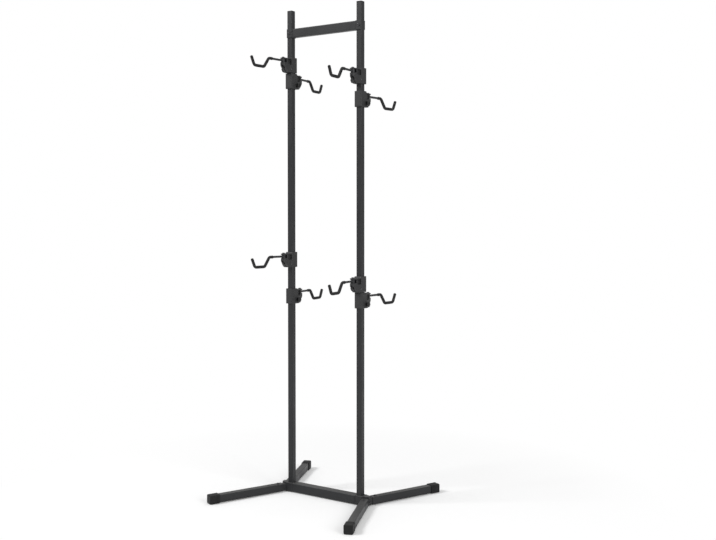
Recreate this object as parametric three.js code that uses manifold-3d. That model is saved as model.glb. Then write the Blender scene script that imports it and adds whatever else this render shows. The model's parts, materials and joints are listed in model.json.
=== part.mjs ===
// Two tier rack that holds four bikes: two square posts on a base rail with splayed legs, a
// crossbar near the top, and eight brackets that slide on the posts. Each bracket grips its post
// with a split clamp and a knob, and carries a swivelling arm with a coated cradle.
// Millimetres, +Z up. The origin is on the floor in the middle of the base, X runs along the
// rail from the left post to the right one, and Y runs from the front brackets to the rear ones.
import * as THREE from 'three';
import { mergeVertices } from 'three/addons/utils/BufferGeometryUtils.js';
import Module from 'manifold-3d';

const wasm = await Module();
wasm.setup();

// The whole rack
const rackHeight = 2130;
const postSpacing = 366;
const seat = 0.3; // gap kept between two pieces that touch
const overrun = 10; // how far a cutting tool runs past the piece that it cuts
const boltRadius = 4;
const boltClearance = 0.3;
const boltHeadRadius = 6.5;
const boltHeadHeight = 4;
const nutHeight = 6.5;
const nutSides = 6;
const roundSides = 8; // facets round a bolt, a hole or a rod
const facetReach = 1 / Math.cos(Math.PI / roundSides); // from a facet's middle out to its corners
const boltHole = (boltRadius + boltClearance) * facetReach; // its flats clear a turning bolt

// Posts and their top caps
const postSize = 25.4;
const postWall = 1.6;
const postEdgeRadius = 2.5;
const postCapThickness = 4;
const postCapCrown = 1.2;
const postPlugDepth = 16;
const postPlugWall = 1.8;

// Base rail
const railSize = 38;
const railWall = 2;
const railEdgeRadius = 3.5;
const railNutPlate = 5;

// Legs and their end caps
const legSize = 32;
const legWall = 2;
const legEdgeRadius = 3;
const legReach = 384; // from the point where a pair of legs would meet to the cap's end
const legAngle = THREE.MathUtils.degToRad(67); // away from the line of the rail
const legScrewInset = 22;
const legCapWall = 3;
const legCapEnd = 5;
const legCapLength = 46;
const legCapEdgeRadius = 6;
const legCapBevel = 3;

// Hubs that join a post, the rail and two legs
const apexReach = 27; // from the post's centre to the point where the two legs would meet
const hubFaceReach = 16; // from that point to the face that a leg stub stands on
const hubFloor = 3;
const hubPocketClearance = 0.3;
const hubEdgeRadius = 3;
const railStubLength = 15;
const legNeck = 10; // part of the leg stub that shows between the hub and the leg
const legStubLength = 55;
const stubClearance = 0.3;

// Crossbar and the saddles on its ends
const crossbarDrop = 100; // from the top of the rack to the crossbar's centre line
const crossbarTall = 38;
const crossbarDeep = 25.4;
const crossbarWall = 2;
const crossbarEdgeRadius = 3;
const saddleSheet = 3;
const saddleClearance = 0.3;
const drainRadius = 3;
const drainInset = 30;

// Brackets: heights are given from the centre line of the arm
const boreClearance = 0.5;
const collarSideWall = 5;
const collarBackWall = 8;
const collarEdgeRadius = 6;
const collarRise = 18;
const collarDrop = 49;
const pivotReach = 58; // from the post's centre to the arm's pivot
const barrelRadius = 12;
const barrelRoundShare = 0.9;
const lugThickness = 5;
const noseDrop = 15;
const toeReach = 37;
const gussetRounding = 11;
const shoulderRun = 8;
const shoulderFillet = 3;
const slitWidth = 3;
const slitTop = 15; // below the arm's centre line
const studReach = 21;
const studDrop = 33;
const clampPadRadius = 9;
const pocketWeb = 17;
const pocketMargin = 4;
const pocketRounding = 9;
const nutPocketClearance = 0.8;

// Arms
const eyeRadius = 9;
const eyeHeight = 14;
const eyeClearance = 0.4;
const stopWidth = 5;
const stopLength = 3.5;
const swivelLimit = THREE.MathUtils.degToRad(30);
const armSplay = THREE.MathUtils.degToRad(5);
const rodRadius = 4.75;
const rodBend = 14;
const bendSteps = 2;
const straightReach = 148; // from the post's centre to the end of the rod's straight
const dropRun = 29; // the rod runs this far out as it drops into the cradle
const cradleRun = 59;
const cradleDrop = 40;
const tipRun = 16;
const tipRise = 34;

// Cradle sleeves
const sleeveLead = 20; // part of the rod's straight that the sleeve covers
const sleeveWall = 1.6;
const sleeveClearance = 0.3;
const sleeveTip = 3;
const crownTopShare = 0.5;
const crownFootShare = 0.95;

// Clamp knobs
const knobRadius = 12;
const knobLobes = 5;
const knobLobeDepth = 1.6;
const knobThickness = 9;
const knobBevel = 2;
const knobNeckRadius = 7.5;
const knobNeckLength = 3;
const pointsPerLobe = 3;

// Stations of the brackets: the upper tier hangs down from the crossbar's centre line, and the
// lower tier is measured up from the floor, both to the arms' centre lines
const upperLeftDrop = 124;
const upperRightDrop = 198;
const upperRightStep = 96;
const lowerLeftHeight = 1051;
const lowerLeftStep = 162;
const lowerRightHeight = 956;
const stackGap = 2; // between two collars that stand one on the other

// Derived places
const crossbarCentreHeight = rackHeight - crossbarDrop;
const legCapSize = legSize + 2 * (legCapWall + seat);
const legCentreHeight = legCapSize / 2;
const baseBottom = legCapWall + seat;
const railCentreHeight = baseBottom + railSize / 2;
const postBottom = baseBottom + hubFloor + seat;
const postTop = rackHeight - postCapThickness - seat;
const hubInnerFace = -railSize / 2 + hubFloor; // in the hub's frame, where +X points outward
const noseFace = apexReach + hubFaceReach * Math.cos(legAngle) + (legSize / 2) * Math.sin(legAngle);
const saddleHalf = postSize / 2 + saddleClearance + saddleSheet;
const collarHalf = postSize / 2 + boreClearance + collarSideWall;
const collarBack = postSize / 2 + boreClearance + collarBackWall;
const lugTop = eyeHeight / 2 + eyeClearance + lugThickness;
const noseReach = pivotReach + barrelRadius;
const stackStep = collarRise + collarDrop + stackGap;
const upperLeftHeight = crossbarCentreHeight - upperLeftDrop;
const upperRightHeight = crossbarCentreHeight - upperRightDrop;

const stations = [
  { tier: 'upper', post: 'left', side: 'front', height: upperLeftHeight },
  { tier: 'upper', post: 'left', side: 'rear', height: upperLeftHeight - stackStep },
  { tier: 'upper', post: 'right', side: 'front', height: upperRightHeight },
  { tier: 'upper', post: 'right', side: 'rear', height: upperRightHeight - upperRightStep },
  { tier: 'lower', post: 'left', side: 'front', height: lowerLeftHeight },
  { tier: 'lower', post: 'left', side: 'rear', height: lowerLeftHeight - lowerLeftStep },
  { tier: 'lower', post: 'right', side: 'front', height: lowerRightHeight },
  { tier: 'lower', post: 'right', side: 'rear', height: lowerRightHeight - stackStep },
];

const steel = new THREE.MeshStandardMaterial({ color: '#2d2e31', roughness: 0.5, metalness: 0.35 });
const casting = new THREE.MeshStandardMaterial({ color: '#232427', roughness: 0.58, metalness: 0.2 });
const plastic = new THREE.MeshStandardMaterial({ color: '#1b1b1d', roughness: 0.65, metalness: 0 });
const rubber = new THREE.MeshStandardMaterial({ color: '#161617', roughness: 0.85, metalness: 0 });
const fastener = new THREE.MeshStandardMaterial({ color: '#3a3b3e', roughness: 0.38, metalness: 0.8 });

const axisX = new THREE.Vector3(1, 0, 0);
const axisY = new THREE.Vector3(0, 1, 0);
const axisZ = new THREE.Vector3(0, 0, 1);

// A solid for cutting and joining, from a geometry whose faces close on each other
function solid(geometry) {
  const bare = geometry.clone();
  bare.deleteAttribute('normal');
  bare.deleteAttribute('uv');
  const merged = mergeVertices(bare, 1e-4);
  const mesh = new wasm.Mesh({
    numProp: 3,
    vertProperties: new Float32Array(merged.attributes.position.array),
    triVerts: new Uint32Array(merged.index.array),
  });
  return new wasm.Manifold(mesh);
}

// The geometry of a finished solid
function skin(body) {
  const mesh = body.getMesh();
  const geometry = new THREE.BufferGeometry();
  geometry.setAttribute('position', new THREE.BufferAttribute(mesh.vertProperties, 3));
  geometry.setIndex(new THREE.BufferAttribute(mesh.triVerts, 1));
  geometry.computeVertexNormals();
  return geometry;
}

// An outline with rounded corners. Each corner is [x, y, radius], and its arc becomes two
// straight facets.
function outline(corners) {
  const shape = new THREE.Shape();
  corners.forEach(([x, y, radius = 0], index) => {
    const corner = new THREE.Vector2(x, y);
    const before = corners.at(index - 1);
    const after = corners[(index + 1) % corners.length];
    const back = new THREE.Vector2(before[0], before[1]).sub(corner).normalize();
    const ahead = new THREE.Vector2(after[0], after[1]).sub(corner).normalize();
    const half = Math.acos(back.dot(ahead)) / 2;
    const start = corner.clone().addScaledVector(back, radius / Math.tan(half));
    if (index === 0) shape.moveTo(start.x, start.y);
    else shape.lineTo(start.x, start.y);
    if (radius === 0) return;
    const centre = back.clone().add(ahead).normalize().multiplyScalar(radius / Math.sin(half)).add(corner);
    const from = Math.atan2(start.y - centre.y, start.x - centre.x);
    const turned = Math.sign(ahead.cross(back)) * (Math.PI - 2 * half);
    shape.absarc(centre.x, centre.y, radius, from, from + turned, turned < 0);
  });
  shape.closePath();
  return shape;
}

function rectangle(width, height, radius = 0) {
  const x = width / 2;
  const y = height / 2;
  return outline([[-x, -y, radius], [x, -y, radius], [x, y, radius], [-x, y, radius]]);
}

// The section of a rectangular tube
function tubeSection(width, height, wall, radius) {
  const shape = rectangle(width, height, radius);
  shape.holes.push(rectangle(width - 2 * wall, height - 2 * wall));
  return shape;
}

// A shape pushed out along an axis, from a start to an end on it. Along X the shape's own x and y
// lie on Y and Z, along Y they lie on Z and X, and along Z on X and Y.
function extrude(shape, axis, start, end) {
  const geometry = new THREE.ExtrudeGeometry(shape, { depth: end - start, bevelEnabled: false, curveSegments: 1 });
  geometry.translate(0, 0, start);
  return turn(geometry, axis);
}

function turn(geometry, axis) {
  const turned = new THREE.Matrix4();
  if (axis === axisX) turned.makeBasis(axisY, axisZ, axisX);
  if (axis === axisY) turned.makeBasis(axisZ, axisX, axisY);
  return geometry.applyMatrix4(turned);
}

// A round bar along an axis, from a start to an end on it, with its centre line through a point
function roundBar(radius, axis, start, end, [x, y, z] = [0, 0, 0], sides = roundSides) {
  const bar = new THREE.CylinderGeometry(radius, radius, end - start, sides);
  bar.rotateX(Math.PI / 2).translate(0, 0, (start + end) / 2);
  return turn(bar, axis).translate(x, y, z);
}

function block(low, high) {
  const size = high.map((value, index) => value - low[index]);
  const middle = high.map((value, index) => (value + low[index]) / 2);
  return new THREE.BoxGeometry(...size).translate(...middle);
}

// A piece turned about Z and then moved, for cutting and joining in another piece's frame
function swung(geometry, angle, x = 0, y = 0, z = 0) {
  return geometry.rotateZ(angle).translate(x, y, z);
}

function join(base, ...extras) {
  return extras.reduce((sum, extra) => sum.add(solid(extra)), base);
}

function cut(base, ...tools) {
  return tools.reduce((rest, tool) => rest.subtract(solid(tool)), base);
}

function piece(name, geometry, material) {
  const mesh = new THREE.Mesh(geometry, material);
  mesh.name = name;
  return mesh;
}

// A rod bent in the plane x = 0, with straights joined by round bends. One step spans a straight
// and a few span each bend, so the bends are round and the straights are bare.
class BentRod extends THREE.Curve {
  constructor(corners, radius) {
    super();
    this.spans = [];
    let from = corners[0];
    corners.slice(1, -1).forEach((corner, index) => {
      const back = corners[index].clone().sub(corner).normalize();
      const ahead = corners[index + 2].clone().sub(corner).normalize();
      const half = back.angleTo(ahead) / 2;
      const start = corner.clone().addScaledVector(back, radius / Math.tan(half));
      const centre = back.clone().add(ahead).setLength(radius / Math.sin(half)).add(corner);
      this.addStraight(from, start);
      this.addBend(centre, start.clone().sub(centre), back.multiplyScalar(-radius), Math.PI - 2 * half);
      from = corner.clone().addScaledVector(ahead, radius / Math.tan(half));
    });
    this.addStraight(from, corners.at(-1));
  }

  addStraight(from, to) {
    this.spans.push((share) => from.clone().lerp(to, share));
  }

  addBend(centre, out, along, sweep) {
    for (let step = 0; step < bendSteps; step++) {
      this.spans.push((share) => {
        const angle = (sweep * (step + share)) / bendSteps;
        return centre.clone().addScaledVector(out, Math.cos(angle)).addScaledVector(along, Math.sin(angle));
      });
    }
  }

  getPoint(t) {
    const place = Math.min(Math.max(t, 0), 1) * this.spans.length;
    const index = Math.min(Math.floor(place), this.spans.length - 1);
    return this.spans[index](place - index);
  }

  getUtoTmapping(u) {
    return u;
  }
}

function sweep(radius, path) {
  const ring = new THREE.Shape();
  for (let side = 0; side < roundSides; side++) {
    const angle = (2 * Math.PI * side) / roundSides;
    if (side === 0) ring.moveTo(radius, 0);
    else ring.lineTo(radius * Math.cos(angle), radius * Math.sin(angle));
  }
  ring.closePath();
  return new THREE.ExtrudeGeometry(ring, { steps: path.spans.length, extrudePath: path });
}

// A screw along Z: a domed head above zero and a shank below it
function screw(shankLength) {
  const profile = [
    [0, -shankLength],
    [boltRadius, -shankLength],
    [boltRadius, 0],
    [boltHeadRadius, 0],
    [boltHeadRadius, boltHeadHeight / 2],
    [boltHeadRadius / 2, boltHeadHeight],
    [0, boltHeadHeight],
  ].map(([x, y]) => new THREE.Vector2(x, y));
  return new THREE.LatheGeometry(profile, roundSides).rotateX(Math.PI / 2);
}

// A bolt along Z: the screw above, with a hexagon nut on its far end
function boltWithNut(grip) {
  const nut = roundBar(boltHeadRadius, axisZ, -grip - nutHeight, -grip, [0, 0, 0], nutSides);
  return skin(join(solid(screw(grip + nutHeight / 2)), nut));
}

// Posts, hollow, with holes for the foot bolt along X and the crossbar bolt along Y
function post() {
  const tube = extrude(tubeSection(postSize, postSize, postWall, postEdgeRadius), axisZ, postBottom, postTop);
  const reach = postSize / 2 + overrun;
  return skin(cut(
    solid(tube),
    roundBar(boltHole, axisX, -reach, reach, [0, 0, railCentreHeight]),
    roundBar(boltHole, axisY, -reach, reach, [0, 0, crossbarCentreHeight]),
  ));
}

// A plug for the top of a post, with a crowned head and a hollow skirt inside the tube
function postCap() {
  const head = new THREE.ExtrudeGeometry(rectangle(postSize, postSize, postEdgeRadius), {
    depth: postCapThickness - postCapCrown,
    bevelThickness: postCapCrown,
    bevelSize: postCapCrown,
    bevelOffset: -postCapCrown,
    bevelSegments: 1,
    curveSegments: 1,
  });
  const base = cut(solid(head), block(
    [-postSize, -postSize, -overrun],
    [postSize, postSize, 0],
  ));
  const plugSize = postSize - 2 * (postWall + stubClearance);
  const plug = extrude(tubeSection(plugSize, plugSize, postPlugWall, 0), axisZ, -postPlugDepth, seat);
  return skin(join(base, plug));
}

// The rail is a tube with a threaded plate inside each end for the long foot bolt
function rail() {
  const half = postSpacing / 2 + hubInnerFace - seat;
  const tube = solid(extrude(tubeSection(railSize, railSize, railWall, railEdgeRadius), axisX, -half, half));
  const inside = railSize - railWall;
  const plateStart = half - railStubLength - seat;
  const plates = [-plateStart, plateStart - railNutPlate].map((start) => (
    extrude(rectangle(inside, inside), axisX, start, start + railNutPlate)
  ));
  const threads = roundBar(boltHole, axisX, -half, half);
  return skin(cut(join(tube, ...plates), threads));
}

// A leg runs along +X from the meeting point of its pair
function leg() {
  const start = hubFaceReach + legNeck;
  const end = legReach - legCapEnd - seat;
  const tube = extrude(tubeSection(legSize, legSize, legWall, legEdgeRadius), axisX, start, end);
  const hole = roundBar(boltHole, axisZ, 0, legSize, [start + legScrewInset, 0, 0]);
  return skin(cut(solid(tube), hole));
}

function legCap() {
  const shell = new THREE.ExtrudeGeometry(rectangle(legCapSize, legCapSize, legCapEdgeRadius), {
    depth: legCapLength - 2 * legCapBevel,
    bevelThickness: legCapBevel,
    bevelSize: legCapBevel,
    bevelOffset: -legCapBevel,
    bevelSegments: 1,
    curveSegments: 1,
  });
  shell.translate(0, 0, legReach - legCapLength + legCapBevel);
  const bore = legSize + 2 * seat;
  const socket = extrude(rectangle(bore, bore, legEdgeRadius), axisX, legReach - legCapLength - overrun, legReach - legCapEnd);
  return skin(cut(solid(turn(shell, axisX)), socket));
}

// The hub is a block with a pocket for the post, a stub for the rail and two for the legs. In its
// own frame +X points outward, away from the rail. The leg screws are one piece with their stubs.
function hub() {
  const across = hubFaceReach * Math.sin(legAngle);
  const out = apexReach + hubFaceReach * Math.cos(legAngle);
  const faceOut = (legSize / 2) * Math.sin(legAngle);
  const faceAcross = (legSize / 2) * Math.cos(legAngle);
  const plan = outline([
    [hubInnerFace, -railSize / 2, hubEdgeRadius],
    [out - faceOut, -across - faceAcross, hubEdgeRadius],
    [noseFace, faceAcross - across, hubEdgeRadius],
    [noseFace, across - faceAcross, hubEdgeRadius],
    [out - faceOut, across + faceAcross, hubEdgeRadius],
    [hubInnerFace, railSize / 2, hubEdgeRadius],
  ]);
  const stubSize = legSize - 2 * (legWall + stubClearance);
  const screwAt = hubFaceReach + legNeck + legScrewInset;
  const legParts = [-legAngle, legAngle].flatMap((angle) => [
    extrude(rectangle(stubSize, stubSize), axisX, 0, hubFaceReach + legStubLength),
    screw(legSize / 2).translate(screwAt, 0, legSize / 2 + seat),
  ].map((part) => swung(part, angle, apexReach, 0, legCentreHeight)));
  const railStub = railSize - 2 * (railWall + stubClearance);
  const railPart = extrude(rectangle(railStub, railStub), axisX, hubInnerFace - railStubLength, 0);
  const pocket = postSize + 2 * hubPocketClearance;
  return skin(cut(
    join(
      solid(extrude(plan, axisZ, baseBottom, baseBottom + railSize)),
      railPart.translate(0, 0, railCentreHeight),
      ...legParts,
    ),
    extrude(rectangle(pocket, pocket, postEdgeRadius), axisZ, baseBottom + hubFloor, railSize + overrun),
    roundBar(boltHole, axisX, -railSize - overrun, noseFace + overrun, [0, 0, railCentreHeight]),
  ));
}

// The foot bolt runs in from the hub's nose, through the post, into the rail's threaded plate
function footBolt() {
  const tip = hubInnerFace - railStubLength - 2 * seat - railNutPlate - boltRadius;
  const bolt = screw(noseFace + seat - tip);
  return turn(bolt, axisX).translate(noseFace + seat, 0, railCentreHeight);
}

// The crossbar is a tube with a welded saddle on each end that wraps three faces of a post
function crossbar() {
  const half = postSpacing / 2 - saddleHalf;
  const section = tubeSection(crossbarDeep, crossbarTall, crossbarWall, crossbarEdgeRadius);
  const tube = extrude(section, axisX, -half - saddleSheet / 2, half + saddleSheet / 2);
  const inner = postSize / 2 + saddleClearance;
  const tall = crossbarTall / 2;
  let bar = solid(tube);
  [0, Math.PI].forEach((angle) => {
    const ends = [-1, 1].flatMap((side) => [
      block([-saddleHalf, Math.min(side * inner, side * saddleHalf), -tall],
        [postSize / 2, Math.max(side * inner, side * saddleHalf), tall]),
    ]);
    const web = block([-saddleHalf, -saddleHalf, -tall], [-inner, saddleHalf, tall]);
    const hole = roundBar(boltHole, axisY, -saddleHalf - overrun, saddleHalf + overrun);
    const drain = roundBar(drainRadius, axisZ, -crossbarTall, 0, [-saddleHalf - drainInset, 0, 0]);
    const place = (part) => swung(part.translate(postSpacing / 2, 0, 0), angle);
    bar = cut(join(bar, ...[...ends, web].map(place)), place(hole), place(drain));
  });
  return skin(bar);
}

function crossbarBolt() {
  const bolt = boltWithNut(2 * (saddleHalf + seat));
  return bolt.rotateX(Math.PI / 2).translate(0, -saddleHalf - seat, crossbarCentreHeight);
}

// The bracket's outline from the side: a collar, a shoulder, the arm's barrel and the gusset
function bracketSide() {
  const bore = postSize / 2 + boreClearance;
  return outline([
    [-collarBack, -collarDrop, collarEdgeRadius],
    [toeReach, -collarDrop, gussetRounding],
    [noseReach, -noseDrop, gussetRounding],
    [noseReach, lugTop, shoulderFillet],
    [bore + shoulderRun, lugTop],
    [bore + shoulderRun / 2, collarRise],
    [-collarBack, collarRise, shoulderFillet],
  ]);
}

// The bracket's outline from above: the collar's square end, tapering to the round barrel
function bracketPlan() {
  const round = barrelRadius * barrelRoundShare;
  return outline([
    [-collarHalf, -collarBack, collarEdgeRadius],
    [collarHalf, -collarBack, collarEdgeRadius],
    [collarHalf, postSize / 2 + shoulderRun, collarEdgeRadius],
    [barrelRadius, pivotReach],
    [barrelRadius, noseReach, round],
    [-barrelRadius, noseReach, round],
    [-barrelRadius, pivotReach],
    [-collarHalf, postSize / 2 + shoulderRun, collarEdgeRadius],
  ]);
}

// The notch behind the eye in which its stop swings from one limit to the other
function stopNotch() {
  const reach = Math.hypot(eyeRadius + stopLength, stopWidth / 2) + 2 * eyeClearance;
  const halfSweep = swivelLimit + Math.atan((stopWidth / 2 + eyeClearance) / eyeRadius);
  const shape = new THREE.Shape();
  shape.moveTo(0, 0);
  [-1, 0].forEach((half) => {
    const from = -Math.PI / 2 + half * halfSweep;
    shape.absarc(0, 0, reach, from, from + halfSweep, false);
  });
  shape.closePath();
  const half = eyeHeight / 2 + eyeClearance;
  return extrude(shape, axisZ, -half, half).translate(0, pivotReach, 0);
}

// Shallow pockets in both cheeks between the collar and the barrel
function cheekPockets() {
  const near = studReach;
  const far = pivotReach - eyeRadius - pocketMargin;
  const high = lugTop - pocketMargin;
  const low = -slitTop;
  const window = outline([[near, low], [far, low, pocketRounding], [far, high], [near, high]]);
  return [
    extrude(window, axisX, pocketWeb / 2, collarHalf + overrun),
    extrude(window, axisX, -collarHalf - overrun, -pocketWeb / 2),
  ];
}

function bracketBody() {
  const side = solid(extrude(bracketSide(), axisX, -collarHalf - overrun, collarHalf + overrun));
  const plan = solid(extrude(bracketPlan(), axisZ, -collarDrop - overrun, collarRise + overrun));
  const bore = postSize / 2 + boreClearance;
  const slot = eyeHeight / 2 + eyeClearance;
  const past = noseReach + overrun;
  const nutPocket = boltHeadRadius + nutPocketClearance;
  const clampPad = roundBar(clampPadRadius, axisX, -collarHalf, collarHalf, [0, studReach, -studDrop]);
  return skin(cut(
    join(side.intersect(plan), clampPad),
    block([-bore, -bore, -collarDrop - overrun], [bore, bore, collarRise + overrun]),
    block([-past, pivotReach - eyeRadius - eyeClearance, -slot], [past, past, slot]),
    stopNotch(),
    block([-slitWidth / 2, 0, -collarDrop - overrun], [slitWidth / 2, past, -slitTop]),
    roundBar(boltHole, axisX, -past, past, [0, studReach, -studDrop]),
    roundBar(boltHole, axisZ, -past, past, [0, pivotReach, 0]),
    roundBar(nutPocket, axisZ, -past, -lugTop, [0, pivotReach, 0]),
    ...cheekPockets(),
  ));
}

// The rod's corners in the arm's frame, whose origin is the pivot
function rodCorners(start, end) {
  const bendStart = straightReach - pivotReach;
  const cradleStart = bendStart + dropRun;
  const cradleEnd = cradleStart + cradleRun;
  const places = [
    [start, 0],
    [bendStart, 0],
    [cradleStart, -cradleDrop],
    [cradleEnd, -cradleDrop],
    [cradleEnd + tipRun, tipRise - cradleDrop],
  ].map(([y, z]) => new THREE.Vector3(0, y, z));
  const tip = places.at(-1);
  const along = tip.clone().sub(places.at(-2)).normalize();
  tip.addScaledVector(along, end);
  return { places, tip, along };
}

function arm() {
  const eye = roundBar(eyeRadius, axisZ, -eyeHeight / 2, eyeHeight / 2);
  const stopEnd = -eyeRadius - stopLength;
  const stop = block([-stopWidth / 2, stopEnd, -eyeHeight / 2], [stopWidth / 2, 0, eyeHeight / 2]);
  const rod = sweep(rodRadius, new BentRod(rodCorners(eyeRadius / 2, 0).places, rodBend));
  const bore = roundBar(boltHole, axisZ, -eyeHeight, eyeHeight);
  return skin(cut(join(solid(eye), stop, rod), bore));
}

// A sleeve over the cradle, open towards the pivot and closed at the tip by a rounded end
function cradleSleeve() {
  const outer = rodRadius + sleeveClearance + sleeveWall;
  const start = straightReach - sleeveLead - pivotReach;
  const shell = rodCorners(start, sleeveTip);
  const body = sweep(outer, new BentRod(shell.places, rodBend));
  const crown = new THREE.CylinderGeometry(outer * crownTopShare, outer * crownFootShare, sleeveTip, roundSides);
  crown.applyQuaternion(new THREE.Quaternion().setFromUnitVectors(axisY, shell.along));
  crown.translate(...shell.tip);
  const hollow = rodCorners(start - overrun, sleeveClearance);
  const bore = sweep(rodRadius + sleeveClearance, new BentRod(hollow.places, rodBend));
  return skin(cut(join(solid(body), crown), bore));
}

// The clamp knob: a lobed grip, a neck that bears on the bracket, and a stud through both cheeks
function knob() {
  const grip = new THREE.Shape();
  const points = knobLobes * pointsPerLobe;
  for (let index = 0; index < points; index++) {
    const angle = (2 * Math.PI * (index + 0.5)) / points;
    const radius = knobRadius - knobLobeDepth * (1 - Math.cos(knobLobes * angle)) / 2;
    const [x, y] = [radius * Math.cos(angle), radius * Math.sin(angle)];
    if (index === 0) grip.moveTo(x, y);
    else grip.lineTo(x, y);
  }
  grip.closePath();
  const start = collarHalf + seat;
  const gripStart = start + knobNeckLength;
  const geometry = new THREE.ExtrudeGeometry(grip, {
    depth: knobThickness - 2 * knobBevel,
    bevelThickness: knobBevel,
    bevelSize: knobBevel,
    bevelOffset: -knobBevel,
    bevelSegments: 1,
  });
  geometry.translate(0, 0, gripStart + knobBevel);
  return skin(join(
    solid(turn(geometry, axisX)),
    roundBar(knobNeckRadius, axisX, start, gripStart + knobBevel),
    roundBar(boltRadius, axisX, -collarHalf - boltRadius / 2, gripStart),
  ));
}

function pivotBolt() {
  return boltWithNut(2 * (lugTop + seat)).translate(0, 0, lugTop + seat);
}

// One bracket with its arm, cradle, pivot bolt and knob. Front brackets are turned half round,
// and every arm leans outward, away from the other post.
function bracket({ tier, post: postName, side, height }, shapes) {
  const name = `${tier}_${postName}_${side}`;
  const group = new THREE.Group();
  const outward = postName === 'left' ? -1 : 1;
  group.position.set((outward * postSpacing) / 2, 0, height);
  group.rotation.z = side === 'front' ? Math.PI : 0;
  const armGroup = new THREE.Group();
  armGroup.position.y = pivotReach;
  armGroup.rotation.z = (side === 'front' ? outward : -outward) * armSplay;
  armGroup.add(piece(`arm_${name}`, shapes.arm, steel), piece(`cradle_${name}`, shapes.sleeve, rubber));
  const bolt = piece(`pivot_bolt_${name}`, shapes.pivotBolt, fastener);
  bolt.position.y = pivotReach;
  const grip = piece(`knob_${name}`, shapes.knob, plastic);
  grip.position.set(0, studReach, -studDrop);
  group.add(piece(`bracket_${name}`, shapes.body, casting), armGroup, bolt, grip);
  return group;
}

// One end of the base with its post: everything here turns half round for the left post
function end(name, angle, shapes) {
  const group = new THREE.Group();
  group.rotation.z = angle;
  group.position.x = (Math.cos(angle) * postSpacing) / 2;
  const cap = piece(`post_cap_${name}`, shapes.postCap, plastic);
  cap.position.z = postTop + seat;
  group.add(
    piece(`hub_${name}`, shapes.hub, steel),
    piece(`foot_bolt_${name}`, shapes.footBolt, fastener),
    piece(`post_${name}`, shapes.post, steel),
    cap,
  );
  [-1, 1].forEach((turnSide) => {
    const place = (turnSide > 0) === (angle === 0) ? 'rear' : 'front';
    const legGroup = new THREE.Group();
    legGroup.position.set(apexReach, 0, legCentreHeight);
    legGroup.rotation.z = turnSide * legAngle;
    legGroup.add(
      piece(`leg_${name}_${place}`, shapes.leg, steel),
      piece(`leg_cap_${name}_${place}`, shapes.legCap, plastic),
    );
    group.add(legGroup);
  });
  return group;
}

function rack() {
  const base = {
    hub: hub(),
    footBolt: footBolt(),
    post: post(),
    postCap: postCap(),
    leg: leg(),
    legCap: legCap(),
  };
  const shapes = {
    body: bracketBody(),
    arm: arm(),
    sleeve: cradleSleeve(),
    pivotBolt: pivotBolt(),
    knob: knob(),
  };
  const group = new THREE.Group();
  const baseRail = piece('base_rail', rail(), steel);
  baseRail.position.z = railCentreHeight;
  const topBar = piece('crossbar', crossbar(), steel);
  topBar.position.z = crossbarCentreHeight;
  const bolts = ['left', 'right'].map((name, index) => {
    const bolt = piece(`crossbar_bolt_${name}`, crossbarBolt(), fastener);
    bolt.position.x = (index - 0.5) * postSpacing;
    return bolt;
  });
  group.add(end('left', Math.PI, base), end('right', 0, base), baseRail, topBar, ...bolts);
  stations.forEach((station) => group.add(bracket(station, shapes)));
  return group;
}

export default rack();
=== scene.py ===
# Looks of the free-standing two tier bike rack, laid out as an add-on and run as a script.
# Every length is in metres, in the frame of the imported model: X runs from the left post to the
# right one, Y from the front brackets to the rear ones, and Z up from the floor.
import json
import math

import bmesh
import bpy
from bpy.props import FloatProperty, FloatVectorProperty, IntProperty, PointerProperty
from mathutils import Matrix, Vector


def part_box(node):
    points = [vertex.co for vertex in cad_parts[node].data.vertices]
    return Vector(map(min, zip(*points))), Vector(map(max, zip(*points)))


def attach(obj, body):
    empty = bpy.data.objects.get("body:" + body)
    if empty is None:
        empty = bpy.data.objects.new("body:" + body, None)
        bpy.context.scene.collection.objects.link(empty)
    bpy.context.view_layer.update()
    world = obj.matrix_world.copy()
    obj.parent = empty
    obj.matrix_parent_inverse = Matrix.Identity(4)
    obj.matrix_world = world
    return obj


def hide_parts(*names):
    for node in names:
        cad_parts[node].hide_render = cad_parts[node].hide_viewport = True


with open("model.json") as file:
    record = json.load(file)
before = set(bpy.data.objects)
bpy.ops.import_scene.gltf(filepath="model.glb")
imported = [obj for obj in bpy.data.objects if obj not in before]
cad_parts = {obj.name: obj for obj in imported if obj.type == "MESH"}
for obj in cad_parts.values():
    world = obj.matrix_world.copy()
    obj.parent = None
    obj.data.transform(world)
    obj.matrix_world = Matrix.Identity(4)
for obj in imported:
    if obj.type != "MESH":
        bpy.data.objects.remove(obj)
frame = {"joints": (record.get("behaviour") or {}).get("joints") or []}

bl_info = {
    "name": "Two tier bike rack",
    "version": (1, 0, 0),
    "blender": (4, 5, 0),
    "location": "View3D > Sidebar > Bike rack",
    "description": "Builds the visible pieces of a two tier bike rack around its packed model",
    "category": "Add Mesh",
}

MM = 0.001


def middle(node):
    """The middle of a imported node's box."""
    low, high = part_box(node)
    return (low + high) / 2


def span(node):
    """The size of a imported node's box."""
    low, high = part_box(node)
    return high - low


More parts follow.
